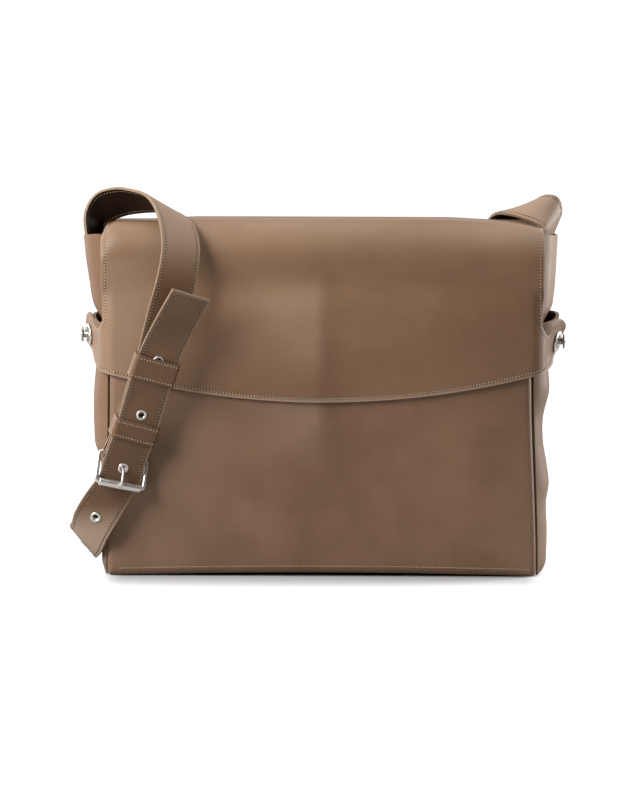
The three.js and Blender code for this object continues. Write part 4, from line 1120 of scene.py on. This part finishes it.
for band in KEEPERS:
    half_wide = STRAP_WIDTH / 2 + KEEPER_ROOM + KEEPER_THICK / 2
    back = -KEEPER_BACK - KEEPER_ROOM - STRAP_PITCH * (band["layers"] - 1) - KEEPER_THICK / 2
    ring = loop_round(half_wide, back, band["front"] + KEEPER_THICK / 2)
    spot, width = leaning(band["up"], 0)
    along = (leaning(band["up"] + 1, 0)[0] - leaning(band["up"] - 1, 0)[0]).normalized()
    face = width.cross(along).normalized()
    aside = along.cross(face)

    def band_point(point, height):
        return spot + aside * point.x + face * point.y + along * height

    keeper = bmesh.new()
    lay_net(keeper, ring, spread(band["tall"] / 2, -band["tall"] / 2, KEEPER_ROW), band_point)
    bmesh.ops.remove_doubles(keeper, verts=keeper.verts, dist=DOUBLES)
    bmesh.ops.recalc_face_normals(keeper, faces=keeper.faces)
    tree = BVHTree.FromBMesh(keeper)
    edge = band["tall"] / 2 - KEEPER_SEAM
    lines = [[band_point(point, height) for point in ring] for height in (edge, -edge)]
    stitches = [stitch for line in lines for stitch in sewn(line, tree, KEEPER_THICK / 2)]
    name = band["name"]
    thicken(add_piece(name + "_leather", keeper, strap_finishes, [name]), KEEPER_THICK)
    add_stitches(name + "_thread", stitches)

# Eyelets: turned and set from nickel-plated brass, a rolled flange on each face of the long strap.
# Each is pressed through a punched hole and lines it.
NICKEL, NICKEL_ROUGHNESS = (0.86, 0.83, 0.785), 0.33
NICKEL_DULL, NICKEL_MARKS, NICKEL_RUBBED = 0.82, (0.35, 0.7), 0.14
EYELET = {"hole": 2.6, "flange": 4.9, "half": 2.5, "lip": 0.75, "barrel": 0.45, "inside": 1.9}
EYELET_RIM = {"in": 0.4, "under": 0.35, "steps": 8}
TURNED_STEPS, TURNED_DOUBLES = 28, 1e-4


def nickel_plate(name, colour, roughness):
    """Polished nickel plate with faint rubbing marks."""
    finish, tree, shader, where = new_finish(name)
    marks = add_node(tree, "TexNoise", {"Vector": where, "Scale": 350, "Detail": 5}).outputs[0]
    dull = tuple(NICKEL_DULL * part for part in colour)
    feed(tree, shader, {
        "Base Color": blend(tree, marks, (*dull, 1), (*colour, 1)), "Metallic": 1,
        "Roughness": ranged(tree, marks, *NICKEL_MARKS, (roughness, roughness + NICKEL_RUBBED)),
    })
    return finish


nickel = nickel_plate("nickel_plate", NICKEL, NICKEL_ROUGHNESS)


def turned(profile, place):
    """A ring or disc spun from its profile of radius and height, set in its place."""
    bm = bmesh.new()
    verts = [bm.verts.new((radius, 0, height)) for radius, height in profile]
    edges = [bm.edges.new(pair) for pair in zip(verts, verts[1:])]
    bmesh.ops.spin(bm, geom=verts + edges, axis=(0, 0, 1), cent=(0, 0, 0), angle=2 * math.pi,
                   steps=TURNED_STEPS, use_merge=True)
    bmesh.ops.remove_doubles(bm, verts=bm.verts, dist=TURNED_DOUBLES)
    bmesh.ops.recalc_face_normals(bm, faces=bm.faces)
    bmesh.ops.transform(bm, matrix=place, verts=bm.verts)
    return bm


def eyelet_profile():
    """The barrel's wall, and each flange rolled over from the hole to its outer rim."""
    hole, flange, half, lip = (EYELET[key] for key in ("hole", "flange", "half", "lip"))
    middle, reach = (hole + flange) / 2, (flange - hole) / 2
    top = []
    for i in range(EYELET_RIM["steps"] + 1):
        a = math.pi * i / EYELET_RIM["steps"]
        top.append((middle - reach * math.cos(a), half - lip * (1 - math.sin(a))))
    top.append((flange - EYELET_RIM["in"], half - lip - EYELET_RIM["under"]))
    top.append((hole + EYELET["barrel"], EYELET["inside"]))
    return [*top, *[(radius, -height) for radius, height in reversed(top)], top[0]]


for i, (centre, length) in enumerate(zip(eyelet_centres, eyelet_lengths)):
    at = strap_at(hole_course, hole_lengths, length)
    ring = turned(eyelet_profile(), set_place(centre, at["width"], at["along"], at["face"]))
    add_piece(f"eyelet_{i + 1}_ring", ring, [nickel], [f"eyelet_{i + 1}"])

# Roller buckle: a frame bent from 4 mm wire, a prong curled round its heel bar that comes up through
# the third hole, and a rolled tube on the front bar. All nickel plated.
WIRE, WIRE_SIDES = 2, 14
FRAME_HALF, FRAME_CORNER, FRAME_STEPS = 22.6, 3.8, 8
ROLLER = {"ahead": 5.8, "inner": 2.1, "outer": 3.6, "half": 19.3, "round": 0.7, "steps": 4}
PRONG = {"radius": 1.5, "point": 0.25, "taper": 0.8, "ring": 3.55, "steps": 3}
PRONG_CURL = range(110, -151, -13)
PRONG_REACH = [
    {"up": 15.7, "ahead": -3.8}, {"up": 15, "ahead": 0}, {"up": 14.3, "ahead": 3.6},
    {"up": 10.8, "ahead": 8}, {"up": 6.2, "ahead": 10.5}, {"up": 0.2, "ahead": 11.2},
]


def sweep(line, radii, side, closed=False):
    """A round wire along a line of points; side is a direction that never lies along it."""
    bm = bmesh.new()
    count = len(line)
    rings = []
    for i, point in enumerate(line):
        before = line[i - 1] if i or closed else point
        after = line[(i + 1) % count] if i + 1 < count or closed else point
        along = (after - before).normalized()
        out = along.cross(side).normalized()
        place = set_place(point, out, along.cross(out), along)
        ring = bmesh.ops.create_circle(bm, cap_ends=False, segments=WIRE_SIDES, radius=radii[i],
                                       matrix=place)["verts"]
        rings.append([bm.edges.get((a, b)) for a, b in zip(ring, ring[1:] + ring[:1])])
    pairs = list(zip(rings, rings[1:])) + ([(rings[-1], rings[0])] if closed else [])
    for first, second in pairs:
        bmesh.ops.bridge_loops(bm, edges=first + second)
    if not closed:
        bmesh.ops.holes_fill(bm, edges=rings[0] + rings[-1], sides=0)
    bmesh.ops.recalc_face_normals(bm, faces=bm.faces)
    return bm


frame_up = buckle_up * HEEL["up"] + buckle_ahead * (heel_ahead - ROLLER["ahead"])
frame_half_tall = frame_up.length / 2
frame_up.normalize()
frame_out = buckle_across.cross(frame_up)
frame_middle = buckle_spot(HEEL["up"] / 2, 0, (heel_ahead + ROLLER["ahead"]) / 2)
outline = []
for x, y, start in ((1, 1, 0), (-1, 1, 90), (-1, -1, 180), (1, -1, 270)):
    for angle in quarter(FRAME_STEPS):
        angle += math.radians(start)
        right = x * (FRAME_HALF - FRAME_CORNER) + FRAME_CORNER * math.cos(angle)
        up = y * (frame_half_tall - FRAME_CORNER) + FRAME_CORNER * math.sin(angle)
        outline.append(frame_middle + buckle_across * right + frame_up * up)
wire = sweep(outline, [WIRE] * len(outline), frame_out, closed=True)
add_piece("buckle_frame_wire", wire, [nickel], ["buckle_frame"])

curl = []
for angle in PRONG_CURL:
    turn = math.radians(angle)
    curl.append((HEEL["up"] + PRONG["ring"] * math.sin(turn), heel_ahead - PRONG["ring"] * math.cos(turn)))
curl += [(row["up"], row["ahead"]) for row in PRONG_REACH]
prong_line = [buckle_spot(p[0], 0, p[1]) for p in spline(curl, PRONG["steps"])]
taper = []
for i in range(len(prong_line)):
    taper.append(PRONG["radius"] * (1 - PRONG["point"] * smooth(i / len(prong_line), PRONG["taper"], 1)))
add_piece("buckle_prong_wire", sweep(prong_line, taper, buckle_across), [nickel], ["buckle_prong"])

lip = []
for a in quarter(ROLLER["steps"]):
    lip.append((ROLLER["outer"] - ROLLER["round"] * (1 - math.cos(a)),
                ROLLER["half"] - ROLLER["round"] * (1 - math.sin(a))))
tube = lip + [(ROLLER["inner"], ROLLER["half"]), (ROLLER["inner"], -ROLLER["half"])]
tube += [(radius, -height) for radius, height in reversed(lip)] + [lip[0]]
roller_place = set_place(buckle_spot(0, 0, ROLLER["ahead"]), frame_up, frame_out, buckle_across)
add_piece("buckle_roller_tube", turned(tube, roller_place), [nickel], ["buckle_roller"])

# Turn-locks: a post on a round foot riveted to the pocket, a slotted plate pressed on to the flap's ear
# and a wing that turns on the post's end to hold the ear. All nickel plated.
LOCK_YAW = math.radians(12)
LOCK_FOOT = {"radius": 7.5, "back": -4.3, "thick": 1.2, "post": 3.2, "end": 6.6}
FOOT_ROUND, POST_FILLET, POST_ROUND = 0.5, 0.6, 0.4
LOCK_PLATE = {"long": 11, "tall": 9.8, "thick": 1.4, "lift": 1.75, "count": 40}
PLATE_RINGS = [
    {"out": 1, "high": 0}, {"out": 1, "high": 0.7}, {"out": 0.9, "high": 1}, {"out": 0.45, "high": 1},
    {"out": 0.12, "high": 0.8}, {"out": 0, "high": 0.5}, {"out": 0, "high": 0},
]
WING = {"tall": 13.6, "wide": 4.8, "thick": 1.7, "gap": 0.4, "edge": 0.5, "steps": 10}
PIN = {"radius": 2.3, "rise": 1.5, "sunk": 0.6, "steps": 5}
# Darker nickel colour for the lock posts and wings.
DARK_NICKEL, DARK_NICKEL_ROUGHNESS = (0.40, 0.36, 0.31), 0.3
RIM_ANGLE = 1
dark_nickel = nickel_plate("dark_nickel", DARK_NICKEL, DARK_NICKEL_ROUGHNESS)


def slot_outline(long, tall, steps):
    """A slot with round ends, lying along X."""
    radius, flat = tall / 2, long / 2 - tall / 2
    right = [math.pi * i / steps - math.pi / 2 for i in range(steps + 1)]
    points = [(flat + radius * math.cos(a), radius * math.sin(a)) for a in right]
    return points + [(-x, -y) for x, y in points]


def lock_post(place):
    radius, back, post, end = (LOCK_FOOT[key] for key in ("radius", "back", "post", "end"))
    front = back + LOCK_FOOT["thick"]
    foot = [(0, back), (radius, back), (radius, front - FOOT_ROUND), (radius - FOOT_ROUND, front)]
    stem = [(post + POST_FILLET, front), (post, front + POST_FILLET), (post, end - POST_ROUND),
            (post - POST_ROUND, end), (0, end)]
    return turned(foot + stem, place)


def ring_plate(place):
    """The slotted plate: an oval rim and a slot, raised between them."""
    count = LOCK_PLATE["count"]
    slot = slot_outline(LOCK["slot_long"], LOCK["slot_tall"], count // 2 - 1)
    bm = bmesh.new()
    loops = []
    for row in PLATE_RINGS:
        ring = []
        for i, (x, y) in enumerate(slot):
            angle = 2 * math.pi * (i + 0.5) / count - math.pi / 2
            rim = Vector((LOCK_PLATE["long"] * math.cos(angle), LOCK_PLATE["tall"] * math.sin(angle)))
            spot = Vector((x, y)).lerp(rim, row["out"])
            ring.append(bm.verts.new((*spot, LOCK_PLATE["lift"] + row["high"] * LOCK_PLATE["thick"])))
        loops.append([bm.edges.new(pair) for pair in zip(ring, ring[1:] + ring[:1])])
    for first, second in zip(loops, loops[1:] + loops[:1]):
        bmesh.ops.bridge_loops(bm, edges=first + second)
    bmesh.ops.recalc_face_normals(bm, faces=bm.faces)
    bmesh.ops.transform(bm, matrix=place, verts=bm.verts)
    return bm


def turning_wing(place, lift):
    """A flat bar with round ends, its edges rounded."""
    bm = bmesh.new()
    outline = slot_outline(WING["tall"], WING["wide"], WING["steps"])
    face = bm.faces.new([bm.verts.new((x, y, lift)) for x, y in outline])
    wall = bmesh.ops.extrude_face_region(bm, geom=[face])["geom"]
    raised = [v for v in wall if isinstance(v, bmesh.types.BMVert)]
    bmesh.ops.translate(bm, vec=(0, 0, WING["thick"]), verts=raised)
    bmesh.ops.recalc_face_normals(bm, faces=bm.faces)
    rims = [edge for edge in bm.edges if edge.calc_face_angle(0) > RIM_ANGLE]
    bmesh.ops.bevel(bm, geom=rims, offset=WING["edge"], offset_type="OFFSET", affect="EDGES", segments=3,
                    profile=0.5, material=-1)
    bmesh.ops.transform(bm, matrix=place, verts=bm.verts)
    return bm


def domed_pin(place, seat):
    radius, rise, sunk = PIN["radius"], PIN["rise"], PIN["sunk"]
    dome = [(0, seat - sunk), (radius, seat - sunk), (radius, seat)]
    dome += [(radius * math.cos(a), seat + rise * math.sin(a)) for a in quarter(PIN["steps"])[1:-1]]
    return turned([*dome, (0, seat + rise)], place)


for word, side in SIDES.items():
    height = lock_height(side)
    spot = flap_point(side * LOCK["run"], FLAP_FRONT, height)
    out = Vector((side * math.cos(LOCK_YAW), -math.sin(LOCK_YAW), 0))
    up = Vector((0, 0, 1))
    lock_place = set_place(spot, up.cross(out), up, out)
    name = f"lock_base_{word}"
    add_piece(name + "_post", lock_post(lock_place), [dark_nickel], [name])

    beside = (flap_point(side * LOCK["run"] + 1, FLAP_FRONT, height) - spot).normalized()
    above = flap_point(side * LOCK["run"], FLAP_FRONT, height + 1) - spot
    flat = beside.cross(above).normalized()
    plate_place = set_place(spot, beside, flat.cross(beside), flat)
    name = f"lock_plate_{word}"
    add_piece(name + "_rim", ring_plate(plate_place), [nickel], [name])

    wing_foot = LOCK_FOOT["end"] + WING["gap"]
    wing = turning_wing(lock_place @ Matrix.Rotation(math.pi / 2, 4, "Z"), wing_foot)
    name = f"turn_button_{word}"
    add_piece(name + "_wing", wing, [dark_nickel], [name], f"button_{word}")
    pin = domed_pin(lock_place, wing_foot + WING["thick"])
    add_piece(name + "_pin", pin, [nickel], [], f"button_{word}")
